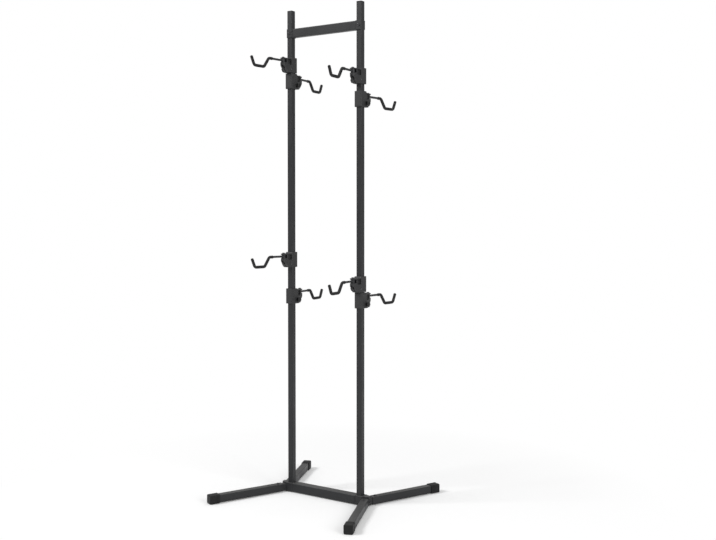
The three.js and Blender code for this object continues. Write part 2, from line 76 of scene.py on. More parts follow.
# Places and sizes read from the frame
POSTS = {"left": -1, "right": 1}
SIDES = {"front": -1, "rear": 1}
TIERS = ("upper", "lower")
POST_X = middle("post_right").x
POST_SIZE = span("post_left").x
POST_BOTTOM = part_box("post_left")[0].z
POST_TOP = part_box("post_left")[1].z
RACK_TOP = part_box("post_cap_left")[1].z
RAIL_SIZE = span("base_rail").z
RAIL_HALF = span("base_rail").x / 2
RAIL_Z = middle("base_rail").z
BASE_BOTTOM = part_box("base_rail")[0].z
CROSSBAR_Z = middle("crossbar").z
CROSSBAR_TALL = span("crossbar").z
SADDLE_HALF = span("crossbar").y / 2
BOOT_SIZE = span("leg_cap_left_front").z
LEG_SIZE = span("leg_left_front").z
LEG_Z = middle("leg_left_front").z
PIVOTS, STUDS = (
    {
        joint["name"].removeprefix(kind): Vector(joint["pos_m"])
        for joint in frame["joints"]
        if joint["name"].startswith(kind)
    }
    for kind in ("swing_", "knob_")
)
PIVOT_REACH = PIVOTS["upper_right_rear"].y
STUD_REACH = STUDS["upper_right_rear"].y
STUD_DROP = PIVOTS["upper_right_rear"].z - STUDS["upper_right_rear"].z

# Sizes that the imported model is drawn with
SEAT = 0.3 * MM
POST_CORNER = 2.5 * MM
POST_WALL = 1.6 * MM
PLUG_DEPTH = 16 * MM
PLUG_CROWN = 1.2 * MM
RAIL_CORNER = 3.5 * MM
RAIL_WALL = 2 * MM
LEG_CORNER = 3 * MM
LEG_WALL = 2 * MM
LEG_ANGLE = math.radians(67)
LEG_REACH = 384 * MM
APEX_REACH = 27 * MM
HUB_FACE_REACH = 16 * MM
HUB_FLOOR = 3 * MM
HUB_CORNER = 3 * MM
LEG_NECK = 10 * MM
LEG_SCREW_INSET = 22 * MM
STUB_CLEARANCE = 0.3 * MM
BOOT_LENGTH = 46 * MM
BOOT_END = 5 * MM
BOOT_CORNER = 6 * MM
BOOT_LIP = 1.2 * MM
BOOT_NOSE = 4.2 * MM
BOOT_GROOVE = 0.7 * MM
BOOT_GROOVES = (9 * MM, 13 * MM, 17 * MM)  # from the boot's mouth
CROSSBAR_DEEP = 25.4 * MM
CROSSBAR_CORNER = 3 * MM
SADDLE_SHEET = 3 * MM
SADDLE_CLEARANCE = 0.3 * MM

BOLT_RADIUS = 4 * MM
BOLT_HEAD_RADIUS = 6.5 * MM
BOLT_HEAD_HEIGHT = 4 * MM
BOLT_CLEARANCE = 0.3 * MM
NUT_HEIGHT = 6.5 * MM
SOCKET_ACROSS = 5 * MM
SOCKET_DEPTH = 2.4 * MM
SOCKET_LIP = 0.3 * MM
SOCKET_MOUTH_RADIUS = 3.2 * MM
HEAD_RIM = 0.8 * MM
HEAD_TOP_RADIUS = 3.6 * MM
HEAD_FALL = math.radians(62)
NUT_CHAMFER = 0.7 * MM
NUT_COLLAR_HEIGHT = 1.3 * MM
LEG_SCREW_LENGTH = 12 * MM

BORE_CLEARANCE = 0.5 * MM
COLLAR_SIDE_WALL = 5 * MM
COLLAR_BACK_WALL = 8 * MM
COLLAR_CORNER = 6 * MM
COLLAR_RISE = 18 * MM
COLLAR_DROP = 49 * MM
BARREL_RADIUS = 12 * MM
LUG_THICKNESS = 5 * MM
NOSE_DROP = 15 * MM
TOE_REACH = 37 * MM
GUSSET_ROUNDING = 11 * MM
SHOULDER_RUN = 8 * MM
SHOULDER_FILLET = 3 * MM
SLIT_WIDTH = 3 * MM
SLIT_TOP = 15 * MM
CLAMP_PAD_RADIUS = 9 * MM
POCKET_WEB = 17 * MM
POCKET_MARGIN = 4 * MM
POCKET_ROUNDING = 9 * MM
POCKET_CORNER = 3 * MM
POCKET_NEAR_CORNER = 2 * MM
NUT_POCKET_CLEARANCE = 0.8 * MM

EYE_RADIUS = 9 * MM
EYE_HEIGHT = 14 * MM
EYE_CLEARANCE = 0.4 * MM
STOP_WIDTH = 5 * MM
STOP_LENGTH = 3.5 * MM
SWIVEL_LIMIT = math.radians(30)
ARM_SPLAY = math.radians(5)
ROD_RADIUS = 4.75 * MM
ROD_BEND = 14 * MM
STRAIGHT_REACH = 148 * MM
DROP_RUN = 29 * MM
CRADLE_RUN = 59 * MM
CRADLE_DROP = 40 * MM
TIP_RUN = 16 * MM
TIP_RISE = 34 * MM
SLEEVE_LEAD = 20 * MM
SLEEVE_CLEARANCE = 0.3 * MM
SLEEVE_WALL = 1.6 * MM
SLEEVE_TIP = 3 * MM

KNOB_LOBES = 5
KNOB_LOBE_DEPTH = 1.6 * MM
KNOB_THICKNESS = 9 * MM
KNOB_NECK_RADIUS = 7.5 * MM
KNOB_NECK_LENGTH = 3 * MM
# The grip's profile: how far it is drawn in, and how high above its foot, both in millimetres
KNOB_PROFILE = ((2.0, 0.0), (0.8, 0.35), (0.2, 1.0), (0.0, 2.0), (0.0, 6.0), (0.15, 7.2), (0.7, 8.2),
                (1.6, 8.8), (2.6, 9.0))
# The dished top: radius, and depth below the grip's end, both in millimetres
KNOB_DISH = ((6.6, 0.0), (6.2, 0.9), (5.7, 0.9), (5.4, 0.3), (4.4, 0.1), (1.5, 0.0))
THREAD_LENGTH = 14 * MM
THREAD_PITCH = 1.25 * MM
THREAD_DEPTH = 0.35 * MM

# The photograph's view: the image is 716 by 540 pixels
IMAGE_WIDTH = 716
LENS_PIXELS = 974.8
SHIFT_PIXELS = -28.64
CAMERA_PLACE = (2.4568, -3.4332, 1.2445)
CAMERA_YAW = math.radians(33.66)
CAMERA_PITCH = math.radians(1.707)
SENSOR_WIDTH = 36

# The stage: each lamp's name, place, aim, side and power
WORLD_STRENGTH = 0.5
FLOOR_RINGS = (12.0, 3.0, 1.0)
FLOOR_FADE = (0.6, 1.5)  # distances between which the floor turns white to the camera
LAMPS = (
    ("key", (-4.6, -5.2, 6.6), (0, 0, 0.6), 2.6, 470),
    ("fill", (6.2, -1.8, 3.0), (0, 0, 0.8), 3.0, 190),
    ("top", (0.2, 0.8, 6.0), (0, 0, 0), 3.0, 60),
)


class RackShapes(bpy.types.PropertyGroup):
    """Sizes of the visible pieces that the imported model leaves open."""

    rounding_steps: IntProperty(
        name="Rounding steps", description="Facets in each rounded corner", default=5, min=2, max=12)
    edge_round: FloatProperty(
        name="Edge rounding", description="Radius on the edges of plates and blocks",
        default=0.8 * MM, unit="LENGTH")
    casting_voxel: FloatProperty(
        name="Casting fineness", description="Voxel size that the bracket casting is smoothed at",
        default=0.6 * MM, unit="LENGTH")
    bead_radius: FloatProperty(
        name="Weld bead", description="Radius of the weld beads", default=2.2 * MM, unit="LENGTH")
    knob_radius: FloatProperty(
        name="Knob radius", description="Radius over the lobes of a clamp knob",
        default=12 * MM, unit="LENGTH")
    rib_height: FloatProperty(
        name="Sleeve rib", description="Height of the ribs moulded round the cradle sleeve",
        default=0.35 * MM, unit="LENGTH")


class RackFinishes(bpy.types.PropertyGroup):
    """Colours and sheen of the rack's finishes."""

    coat: FloatVectorProperty(
        name="Powder coat", description="Colour of the posts, rail, legs, crossbar and arms",
        subtype="COLOR", size=3, min=0, max=1, default=(0.016, 0.0165, 0.018))
    casting: FloatVectorProperty(
        name="Casting", description="Colour of the coated brackets",
        subtype="COLOR", size=3, min=0, max=1, default=(0.026, 0.026, 0.027))
    plastic: FloatVectorProperty(
        name="Plastic", description="Colour of the caps and knobs",
        subtype="COLOR", size=3, min=0, max=1, default=(0.010, 0.010, 0.0105))
    rubber: FloatVectorProperty(
        name="Rubber", description="Colour of the cradle sleeves",
        subtype="COLOR", size=3, min=0, max=1, default=(0.011, 0.011, 0.0115))
    fastener: FloatVectorProperty(
        name="Fasteners", description="Colour of the bolts and nuts",
        subtype="COLOR", size=3, min=0, max=1, default=(0.055, 0.055, 0.058))
    floor: FloatVectorProperty(
        name="Floor", description="Colour of the floor", subtype="COLOR", size=3, min=0, max=1,
        default=(0.88, 0.88, 0.88))
    coat_roughness: FloatProperty(
        name="Coat roughness", description="Roughness of the powder coat", default=0.42, min=0, max=1,
        subtype="FACTOR")
    # Sets the edge wear and, with it, the painted highlight along edges.
    wear_and_highlight: FloatProperty(
        name="Edge wear", description="Strength of the wear along edges", default=0.5, min=0, max=1,
        subtype="FACTOR")


# Sections and outlines, as lists of flat points that run anticlockwise

def outline(corners, steps):
    """An outline whose corners (x, y, radius) are rounded by arcs."""
    points = []
    for index, (x, y, radius) in enumerate(corners):
        corner = Vector((x, y))
        if radius == 0:
            points.append(corner)
            continue
        back = (Vector(corners[index - 1][:2]) - corner).normalized()
        ahead = (Vector(corners[(index + 1) % len(corners)][:2]) - corner).normalized()
        half = back.angle(ahead) / 2
        centre = corner + (back + ahead).normalized() * radius / math.sin(half)
        first = corner + back * radius / math.tan(half) - centre
        turn = math.copysign(math.pi - 2 * half, ahead.x * back.y - ahead.y * back.x)
        for step in range(steps + 1):
            points.append(centre + Matrix.Rotation(turn * step / steps, 2) @ first)
    return points


def rectangle(width, height, radius, steps):
    x, y = width / 2, height / 2
    return outline([(-x, -y, radius), (x, -y, radius), (x, y, radius), (-x, y, radius)], steps)


def square(size, radius, steps, drop=0):
    """A rounded square moved inward by a drop, with as many points whatever the drop."""
    return rectangle(size - 2 * drop, size - 2 * drop, max(radius - drop, 0.4 * MM), steps)


def circle(radius, count):
    return [Vector((radius * math.cos(a), radius * math.sin(a))) for a in turns(count)]


def hexagon(across, count):
    """A hexagon, from its size across the flats, as count points spread by angle."""
    points = []
    for angle in turns(count):
        from_flat = (angle + math.pi / 6) % (math.pi / 3) - math.pi / 6
        reach = across / 2 / math.cos(from_flat)
        points.append(Vector((reach * math.cos(angle), reach * math.sin(angle))))
    return points


def turns(count):
    return [2 * math.pi * index / count for index in range(count)]


def inset(points, distance):
    """The outline moved inward by a distance, corner by corner."""
    moved = []
    for index, point in enumerate(points):
        before = (point - points[index - 1]).normalized()
        after = (points[(index + 1) % len(points)] - point).normalized()
        inward = Vector((-before.y - after.y, before.x + after.x)).normalized()
        lean = max(inward.dot(Vector((-after.y, after.x))), 0.3)
        moved.append(point + inward * distance / lean)
    return moved


# Meshes grown ring by ring

def loft(mesh, rings, closed=False, place=Matrix()):
    """Skins a row of rings of 3-D points. A closed row joins its last ring to its first."""
    rows = [[mesh.verts.new(place @ Vector(point)) for point in ring] for ring in rings]
    pairs = list(zip(rows, rows[1:]))
    if closed:
        pairs.append((rows[-1], rows[0]))
    for first, second in pairs:
        for index in range(len(first)):
            after = (index + 1) % len(first)
            mesh.faces.new((first[index], first[after], second[after], second[index]))
    if not closed:
        mesh.faces.new(reversed(rows[0]))
        mesh.faces.new(rows[-1])


def level(points, height):
    return [(point.x, point.y, height) for point in points]


def rounded_ends(points, low, high, edge, steps):
    """Rings of a prism from low to high with rounded end edges."""
    rings = []
    for step in range(steps + 1):
        angle = math.pi / 2 * step / steps
        rings.append(level(inset(points, edge * (1 - math.sin(angle))), low + edge * (1 - math.cos(angle))))
    for step in range(steps + 1):
        angle = math.pi / 2 * step / steps
        rings.append(level(inset(points, edge * (1 - math.cos(angle))), high - edge * (1 - math.sin(angle))))
    return rings


def slab(mesh, points, low, high, edge=0, steps=2, place=Matrix()):
    """A prism along Z, with rounded end edges where an edge radius is given."""
    if edge:
        rings = rounded_ends(points, low, high, edge, steps)
    else:
        rings = [level(points, low), level(points, high)]
    loft(mesh, rings, place=place)


def tube(mesh, outer, inner, low, high, edge, place=Matrix()):
    """A hollow tube along Z. Both sections have the same count of points."""
    rings = rounded_ends(outer, low, high, edge, 2)
    loft(mesh, rings + [level(inner, high), level(inner, low)], closed=True, place=place)


def bead(mesh, points, radius, pitch=2.4 * MM, sides=8, place=Matrix()):
    """A rippled weld bead along a closed flat outline at height zero."""
    count = len(points)
    lengths = [0]
    for index in range(count):
        lengths.append(lengths[-1] + (points[(index + 1) % count] - points[index]).length)
    ripples = round(lengths[-1] / pitch)
    rings = []
    for step in range(ripples * 4):
        distance = lengths[-1] * step / (ripples * 4)
        index = max(i for i in range(count) if lengths[i] <= distance)
        share = (distance - lengths[index]) / max(lengths[index + 1] - lengths[index], 1e-9)
        here = points[index].lerp(points[(index + 1) % count], share)
        along = (points[(index + 1) % count] - points[index - 1]).normalized()
        outward = Vector((along.y, -along.x, 0))
        swell = radius * (0.86 + 0.14 * abs(math.cos(math.pi * step / 4)))
        rings.append([
            Vector((here.x, here.y, 0)) + swell * (outward * math.cos(a) + Vector((0, 0, math.sin(a))))
            for a in turns(sides)
        ])
    loft(mesh, rings, closed=True, place=place)


AXIS_X = Matrix(((0, 0, 1, 0), (1, 0, 0, 0), (0, 1, 0, 0), (0, 0, 0, 1)))  # local Z becomes X


def finished(mesh, name, crease=math.radians(38)):
    """Turns a bmesh into mesh data with outward faces, smooth but for its sharp edges."""
    bmesh.ops.remove_doubles(mesh, verts=mesh.verts, dist=0.00001)
    bmesh.ops.recalc_face_normals(mesh, faces=mesh.faces)
    for face in mesh.faces:
        face.smooth = True
    for edge in mesh.edges:
        edge.smooth = len(edge.link_faces) == 2 and edge.calc_face_angle() < crease
    data = bpy.data.meshes.new(name)
    mesh.to_mesh(data)
    mesh.free()
    return data


def place_piece(name, data, material, body, nodes=(), place=Matrix()):
    """Puts mesh data in the scene as a piece that rides on a body and stands for its nodes."""
    piece = bpy.data.objects.new(name, data)
    bpy.context.scene.collection.objects.link(piece)
    piece.matrix_world = place
    if not data.materials:
        data.materials.append(material)
    weighted = piece.modifiers.new("weighted normals", "WEIGHTED_NORMAL")
    weighted.keep_sharp = True
    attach(piece, body)
    if nodes:
        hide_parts(*nodes)
    return piece


def carve(base, tools):
    """Stacks (operation, bmesh) tools on a base bmesh, and returns the body and its scrap objects."""
    scrap = []

    def stand_in(mesh, name):
        data = bpy.data.meshes.new(name)
        bmesh.ops.recalc_face_normals(mesh, faces=mesh.faces)
        mesh.to_mesh(data)
        mesh.free()
        thing = bpy.data.objects.new(name, data)
        bpy.context.scene.collection.objects.link(thing)
        scrap.append(thing)
        return thing

    body = stand_in(base, "carved")
    for index, (operation, tool) in enumerate(tools):
        cutter = body.modifiers.new(f"cut {index}", "BOOLEAN")
        cutter.operation = operation
        cutter.solver = "MANIFOLD"
        cutter.object = stand_in(tool, f"tool {index}")
    return body, scrap


def settle(body, scrap):
    """Evaluates a carved body, removes its scrap and returns its final mesh data as a bmesh."""
    bpy.context.view_layer.update()
    depsgraph = bpy.context.evaluated_depsgraph_get()
    result = bmesh.new()
    result.from_mesh(body.evaluated_get(depsgraph).to_mesh())
    for thing in scrap:
        bpy.data.meshes.remove(thing.data)
    return result


# Stations: where each bracket, arm and knob stands

def stations():
    for tier in TIERS:
        for post, out in POSTS.items():
            for side, back in SIDES.items():
                yield f"{tier}_{post}_{side}", out, back


def bracket_place(name, out, back):
    """The bracket's own frame: the post's centre at the arm's height, +Y towards the arm."""
    return Matrix.Translation((out * POST_X, 0, PIVOTS[name].z)) @ Matrix.Rotation(
        math.pi if back < 0 else 0, 4, "Z")


def arm_place(name, out, back):
    """The arm's own frame: the pivot, +Y along the arm at rest, leaning away from the other post."""
    lean = -out * back * ARM_SPLAY
    return bracket_place(name, out, back) @ Matrix.Translation((0, PIVOT_REACH, 0)) @ Matrix.Rotation(
        lean, 4, "Z")


def end_place(out):
    """The frame of one end of the base: the post's foot, +X away from the other post."""
    return Matrix.Translation((out * POST_X, 0, 0)) @ Matrix.Rotation(math.pi if out < 0 else 0, 4, "Z")


def leg_turn(turn):
    """A leg's own frame seen from its end of the base: +X runs along the leg from where its pair meets."""
    return Matrix.Translation((APEX_REACH, 0, LEG_Z)) @ Matrix.Rotation(turn * LEG_ANGLE, 4, "Z")


def leg_place(out, back):
    """A leg's own frame, for the post on one side and the leg that runs to the front or rear."""
    return end_place(out) @ leg_turn(back * out)


# Materials. Effects that several materials share are node groups.

def add(tree, kind, inputs=(), **settings):
    """Adds a node, sets its properties, and fills its inputs with values or links."""
    made = tree.nodes.new(kind)
    for key, value in settings.items():
        setattr(made, key, value)
    for key, value in dict(inputs).items():
        if isinstance(value, bpy.types.NodeSocket):
            tree.links.new(value, made.inputs[key])
        else:
            made.inputs[key].default_value = value
    return made


def new_group(name, inputs, outputs):
    """Starts a shader node group with named sockets and returns it with its ends."""
    tree = bpy.data.node_groups.new(name, "ShaderNodeTree")
    for key, (kind, value) in inputs.items():
        socket = tree.interface.new_socket(key, in_out="INPUT", socket_type=kind)
        socket.default_value = value
    for key, kind in outputs.items():
        tree.interface.new_socket(key, in_out="OUTPUT", socket_type=kind)
    return tree, tree.nodes.new("NodeGroupInput").outputs, tree.nodes.new("NodeGroupOutput").inputs


def noise(tree, scale, detail=2, roughness=0.5, vector=None):
    place = vector or add(tree, "ShaderNodeTexCoord").outputs["Object"]
    return add(tree, "ShaderNodeTexNoise", {
        "Vector": place, "Scale": scale, "Detail": detail, "Roughness": roughness}).outputs["Fac"]


def ranged(tree, value, from_low, from_high, to_low=0.0, to_high=1.0):
    return add(tree, "ShaderNodeMapRange", {
        "Value": value, "From Min": from_low, "From Max": from_high, "To Min": to_low, "To Max": to_high,
    }).outputs["Result"]


def maths(tree, operation, first, second=0.0):
    return add(tree, "ShaderNodeMath", {0: first, 1: second}, operation=operation).outputs[0]


def blended(tree, share, first, second):
    mix = add(tree, "ShaderNodeMix", data_type="RGBA")
    for index, value in ((0, share), (6, first), (7, second)):
        if isinstance(value, bpy.types.NodeSocket):
            tree.links.new(value, mix.inputs[index])
        else:
            mix.inputs[index].default_value = value
    return mix.outputs[2]


def grain_group():
    """Fine moulded or sprayed grain: a height, and a roughness that varies with it."""
    tree, given, out = new_group("surface grain", {
        "Scale": ("NodeSocketFloat", 900.0),
        "Roughness": ("NodeSocketFloat", 0.5),
        "Variation": ("NodeSocketFloat", 0.08),
    }, {"Height": "NodeSocketFloat", "Roughness": "NodeSocketFloat"})
    fine = noise(tree, given["Scale"], 3)
    broad = noise(tree, maths(tree, "MULTIPLY", given["Scale"], 0.03), 2)
    tree.links.new(fine, out["Height"])
    both = maths(tree, "ADD", maths(tree, "MULTIPLY", fine, 0.4), maths(tree, "MULTIPLY", broad, 0.6))
    swing = maths(tree, "MULTIPLY", maths(tree, "SUBTRACT", both, 0.5), maths(
        tree, "MULTIPLY", given["Variation"], 4.0))
    tree.links.new(maths(tree, "ADD", given["Roughness"], swing), out["Roughness"])
    return tree


def tone_group():
    """A colour that clouds softly over the surface, and greys on top faces as settled dust and as painted
    light falling from above.
    """
    tree, given, out = new_group("soft tone", {
        "Colour": ("NodeSocketColor", (0.03, 0.03, 0.03, 1)),
        "Clouding": ("NodeSocketFloat", 0.15),
        "Dust": ("NodeSocketFloat", 0.15),
    }, {"Colour": "NodeSocketColor", "Dust": "NodeSocketFloat"})
    cloud = maths(tree, "SUBTRACT", noise(tree, 14.0, 4, 0.6), 0.5)
    level_up = maths(tree, "ADD", 1.0, maths(tree, "MULTIPLY", cloud, given["Clouding"]))
    tinted = add(tree, "ShaderNodeVectorMath", {0: given["Colour"], 1: level_up}, operation="MULTIPLY")
    facing = add(tree, "ShaderNodeSeparateXYZ", {0: add(tree, "ShaderNodeNewGeometry").outputs["Normal"]})
    # Painted light: faces that point up take the grey below, standing for dust and for light from above
    # alike.
    upward = ranged(tree, facing.outputs["Z"], 0.6, 1.0)
    patch = ranged(tree, noise(tree, 170.0, 6, 0.7), 0.3, 0.72, 0.4, 1.0)
    dust = maths(tree, "MULTIPLY", maths(tree, "MULTIPLY", upward, patch), given["Dust"])
    tree.links.new(dust, out["Dust"])
    # The pale grey laid on up-facing faces is dust colour and painted top light together.
    tree.links.new(blended(tree, dust, tinted.outputs[0], (0.28, 0.275, 0.265, 1)), out["Colour"])
    return tree


def wear_and_highlight_group():
    """A mask along outer edges, broken up as a rubbed coat is, for wear and painted edge highlight. Soft
    takes in the rounded edges of a casting too, from how far its dense skin curves outward, as painted
    highlight."""
    tree, given, out = new_group("edge wear", {
        "Amount": ("NodeSocketFloat", 0.35),
        "Width": ("NodeSocketFloat", 0.0012),
        "Soft": ("NodeSocketFloat", 0.0),
    }, {"Mask": "NodeSocketFloat"})
    surface = add(tree, "ShaderNodeNewGeometry").outputs
    rounded = add(tree, "ShaderNodeBevel", {"Radius": given["Width"]}, samples=6).outputs["Normal"]
    match = add(tree, "ShaderNodeVectorMath", {0: surface["Normal"], 1: rounded}, operation="DOT_PRODUCT")
    sharp = ranged(tree, match.outputs["Value"], 0.995, 0.86)
    # Painted highlight: pointiness lightens the rounded edges of a casting, alongside the edge wear.
    soft = maths(tree, "MULTIPLY", ranged(tree, surface["Pointiness"], 0.53, 0.60), given["Soft"])
    edge = maths(tree, "MAXIMUM", sharp, soft)
    chips = ranged(tree, noise(tree, 240.0, 6, 0.7), 0.46, 0.62)
    worn = maths(tree, "MULTIPLY", edge, chips)
    tree.links.new(maths(tree, "MULTIPLY", worn, given["Amount"]), out["Mask"])
    return tree


def scuff_group():
    """Faint rub marks that run up and down, as a sliding clamp leaves them on a post."""
    tree, given, out = new_group("rub marks", {
        "Amount": ("NodeSocketFloat", 0.2),
    }, {"Mask": "NodeSocketFloat"})
    place = add(tree, "ShaderNodeTexCoord").outputs["Object"]
    stretch = add(tree, "ShaderNodeVectorMath", {0: place, 1: (520.0, 520.0, 7.0)}, operation="MULTIPLY")
    streak = ranged(tree, noise(tree, 1.0, 3, 0.6, stretch.outputs[0]), 0.58, 0.74)
    patch = ranged(tree, noise(tree, 9.0, 2, 0.5), 0.45, 0.65)
    rubbed = maths(tree, "MULTIPLY", streak, patch)
    tree.links.new(maths(tree, "MULTIPLY", rubbed, given["Amount"]), out["Mask"])
    return tree


def use_group(tree, name, builder, **values):
    """Places a shared node group, building it once."""
    made = tree.nodes.new("ShaderNodeGroup")
    made.node_tree = bpy.data.node_groups.get(name) or builder()
    for key, value in values.items():
        socket = made.inputs[key.replace("_", " ").capitalize()]
        if isinstance(value, bpy.types.NodeSocket):
            tree.links.new(value, socket)
        else:
            socket.default_value = value
    return made.outputs


def finish_material(name, colour, roughness, variation, grain_scale, bump, wear_and_highlight, metal=0.0, specular=0.5,
                    dust=0.12, clouding=0.2, soft_wear_and_highlight=0.0, bare_and_highlight=(0.3, 0.3, 0.31, 1), rub=0.0):
    """A finish from the shared groups round one Principled shader. Its colour and its roughness may
    name a property, and its edge wear with painted edge highlight is a share of that property."""
    found = bpy.data.materials.get(name)
    if found:
        return found
    look = bpy.context.scene.rack_finishes
    colour = getattr(look, colour)
    roughness = getattr(look, roughness) if isinstance(roughness, str) else roughness
    wear_and_highlight = look.wear_and_highlight * wear_and_highlight
    material = bpy.data.materials.new(name)
    material.use_nodes = True
    tree = material.node_tree
    shader = tree.nodes["Principled BSDF"]
    shader.inputs["Metallic"].default_value = metal
    shader.inputs["Specular IOR Level"].default_value = specular
    grain = use_group(tree, "surface grain", grain_group, scale=grain_scale, roughness=roughness,
                      variation=variation)
    tone = use_group(tree, "soft tone", tone_group, colour=(*colour, 1), clouding=clouding, dust=dust)
    shade, gloss = tone["Colour"], grain["Roughness"]
    masks = []
    if wear_and_highlight:
        masks.append(use_group(tree, "edge wear", wear_and_highlight_group, amount=wear_and_highlight, soft=soft_wear_and_highlight)["Mask"])
    if rub:
        masks.append(use_group(tree, "rub marks", scuff_group, amount=rub)["Mask"])
    # Edge wear with painted edge highlight, and the rub marks, lighten the colour towards the
    # bare-and-highlight colour.
    for mask in masks:
        shade = blended(tree, mask, shade, bare_and_highlight)
    gloss = maths(tree, "ADD", gloss, maths(tree, "MULTIPLY", tone["Dust"], 0.3))
    tree.links.new(shade, shader.inputs["Base Color"])
    tree.links.new(gloss, shader.inputs["Roughness"])
    relief = add(tree, "ShaderNodeBump", {"Height": grain["Height"], "Strength": 0.6, "Distance": bump})
    tree.links.new(relief.outputs["Normal"], shader.inputs["Normal"])
    return material


# The finishes, by the name that the pieces ask for
COATED = {"variation": 0.16, "grain_scale": 560.0, "bump": 0.00032, "specular": 0.34}
FINISHES = {
    # The coat's dust share also paints its top faces lighter, as light falling from above.
    "coat": dict(COATED, name="satin powder coat", colour="coat", roughness="coat_roughness",
                 dust=0.2, wear_and_highlight=0.6),
    "post": dict(COATED, name="rubbed powder coat", colour="coat", roughness="coat_roughness",
                 wear_and_highlight=0.5, rub=0.22, bare_and_highlight=(0.16, 0.16, 0.165, 1)),
    # The casting's rounded edges get painted highlight as well as wear.
    "casting": dict(name="textured cast coat", colour="casting", roughness=0.52, variation=0.20,
                    grain_scale=420.0, bump=0.00045, specular=0.34, wear_and_highlight=1.0, soft_wear_and_highlight=1.0,
                    clouding=0.3),
    "cap": dict(name="moulded cap plastic", colour="plastic", roughness=0.58, variation=0.14,
                grain_scale=900.0, bump=0.00030, specular=0.22, dust=0.06, wear_and_highlight=0.5,
                bare_and_highlight=(0.07, 0.07, 0.07, 1)),
    "knob": dict(name="moulded knob plastic", colour="plastic", roughness=0.45, variation=0.12,
                 grain_scale=900.0, bump=0.00025, specular=0.35, wear_and_highlight=0.6,
                 bare_and_highlight=(0.08, 0.08, 0.08, 1)),
    "rubber": dict(name="cradle rubber", colour="rubber", roughness=0.72, variation=0.14,
                   grain_scale=750.0, bump=0.00035, specular=0.3, clouding=0.35, dust=0.2, wear_and_highlight=0.5,
                   bare_and_highlight=(0.06, 0.06, 0.058, 1)),
    "fastener": dict(name="black oxide steel", colour="fastener", roughness=0.34, variation=0.16,
                     grain_scale=500.0, bump=0.00006, metal=0.75, clouding=0.5, dust=0.05, wear_and_highlight=1.4,
                     bare_and_highlight=(0.42, 0.41, 0.40, 1)),
}


def finish(kind):
    return finish_material(**FINISHES[kind])


# Posts, rail, legs and crossbar

def square_tube(mesh, width, height, wall, corner, low, high, steps, place=Matrix()):
    outer = rectangle(width, height, corner, steps)
    inner = rectangle(width - 2 * wall, height - 2 * wall, corner - wall / 2, steps)
    tube(mesh, outer, inner, low, high, 0.3 * MM, place)


class RACK_OT_posts(bpy.types.Operator):
    """Build the two square posts"""

    bl_idname = "rack.posts"
    bl_label = "Posts"

    def execute(self, context):
        steps = context.scene.rack_shapes.rounding_steps
        mesh = bmesh.new()
        square_tube(mesh, POST_SIZE, POST_SIZE, POST_WALL, POST_CORNER, POST_BOTTOM, POST_TOP, steps)
        data = finished(mesh, "post tube")
        for post, out in POSTS.items():
            place_piece(f"post_tube_{post}", data, finish("post"), "frame",
                        [f"post_{post}"], Matrix.Translation((out * POST_X, 0, 0)))
        return {"FINISHED"}


class RACK_OT_post_plugs(bpy.types.Operator):
    """Build the crowned plugs that close the posts"""

    bl_idname = "rack.post_plugs"
    bl_label = "Post plugs"

    def execute(self, context):
        steps = context.scene.rack_shapes.rounding_steps
        base = POST_TOP + SEAT
        skirt = square(POST_SIZE, POST_CORNER, steps, POST_WALL + STUB_CLEARANCE)

        def head(drop, height):
            return level(square(POST_SIZE, POST_CORNER, steps, drop), height)

        rings = [level(skirt, base - PLUG_DEPTH), level(skirt, base), head(0.2 * MM, base),
                 head(0, base + 0.2 * MM)]
        for step in range(steps + 1):
            angle = math.pi / 2 * step / steps
            rings.append(head(2 * PLUG_CROWN * (1 - math.cos(angle)),
                              RACK_TOP - PLUG_CROWN * (1 - math.sin(angle)) - 0.3 * MM))
        rings += [head(6 * MM, RACK_TOP - 0.1 * MM), head(10 * MM, RACK_TOP)]
        mesh = bmesh.new()
        loft(mesh, rings)
        data = finished(mesh, "post plug")
        for post, out in POSTS.items():
            place_piece(f"post_plug_{post}", data, finish("cap"), "frame",
                        [f"post_cap_{post}"], Matrix.Translation((out * POST_X, 0, 0)))
        return {"FINISHED"}


class RACK_OT_base_rail(bpy.types.Operator):
    """Build the rail between the hubs"""

    bl_idname = "rack.base_rail"
    bl_label = "Base rail"

    def execute(self, context):
        steps = context.scene.rack_shapes.rounding_steps
        mesh = bmesh.new()
        square_tube(mesh, RAIL_SIZE, RAIL_SIZE, RAIL_WALL, RAIL_CORNER, -RAIL_HALF, RAIL_HALF, steps, AXIS_X)
        place_piece("rail_tube", finished(mesh, "rail tube"), finish("coat"), "frame",
                    ["base_rail"], Matrix.Translation((0, 0, RAIL_Z)))
        return {"FINISHED"}


class RACK_OT_legs(bpy.types.Operator):
    """Build the four splayed legs"""

    bl_idname = "rack.legs"
    bl_label = "Legs"

    def execute(self, context):
        steps = context.scene.rack_shapes.rounding_steps
        mesh = bmesh.new()
        square_tube(mesh, LEG_SIZE, LEG_SIZE, LEG_WALL, LEG_CORNER, HUB_FACE_REACH + LEG_NECK,
                    LEG_REACH - BOOT_END - SEAT, steps, AXIS_X)
        data = finished(mesh, "leg tube")
        for post, out in POSTS.items():
            for side, back in SIDES.items():
                place_piece(f"leg_tube_{post}_{side}", data, finish("coat"), "frame",
                            [f"leg_{post}_{side}"], leg_place(out, back))
        return {"FINISHED"}


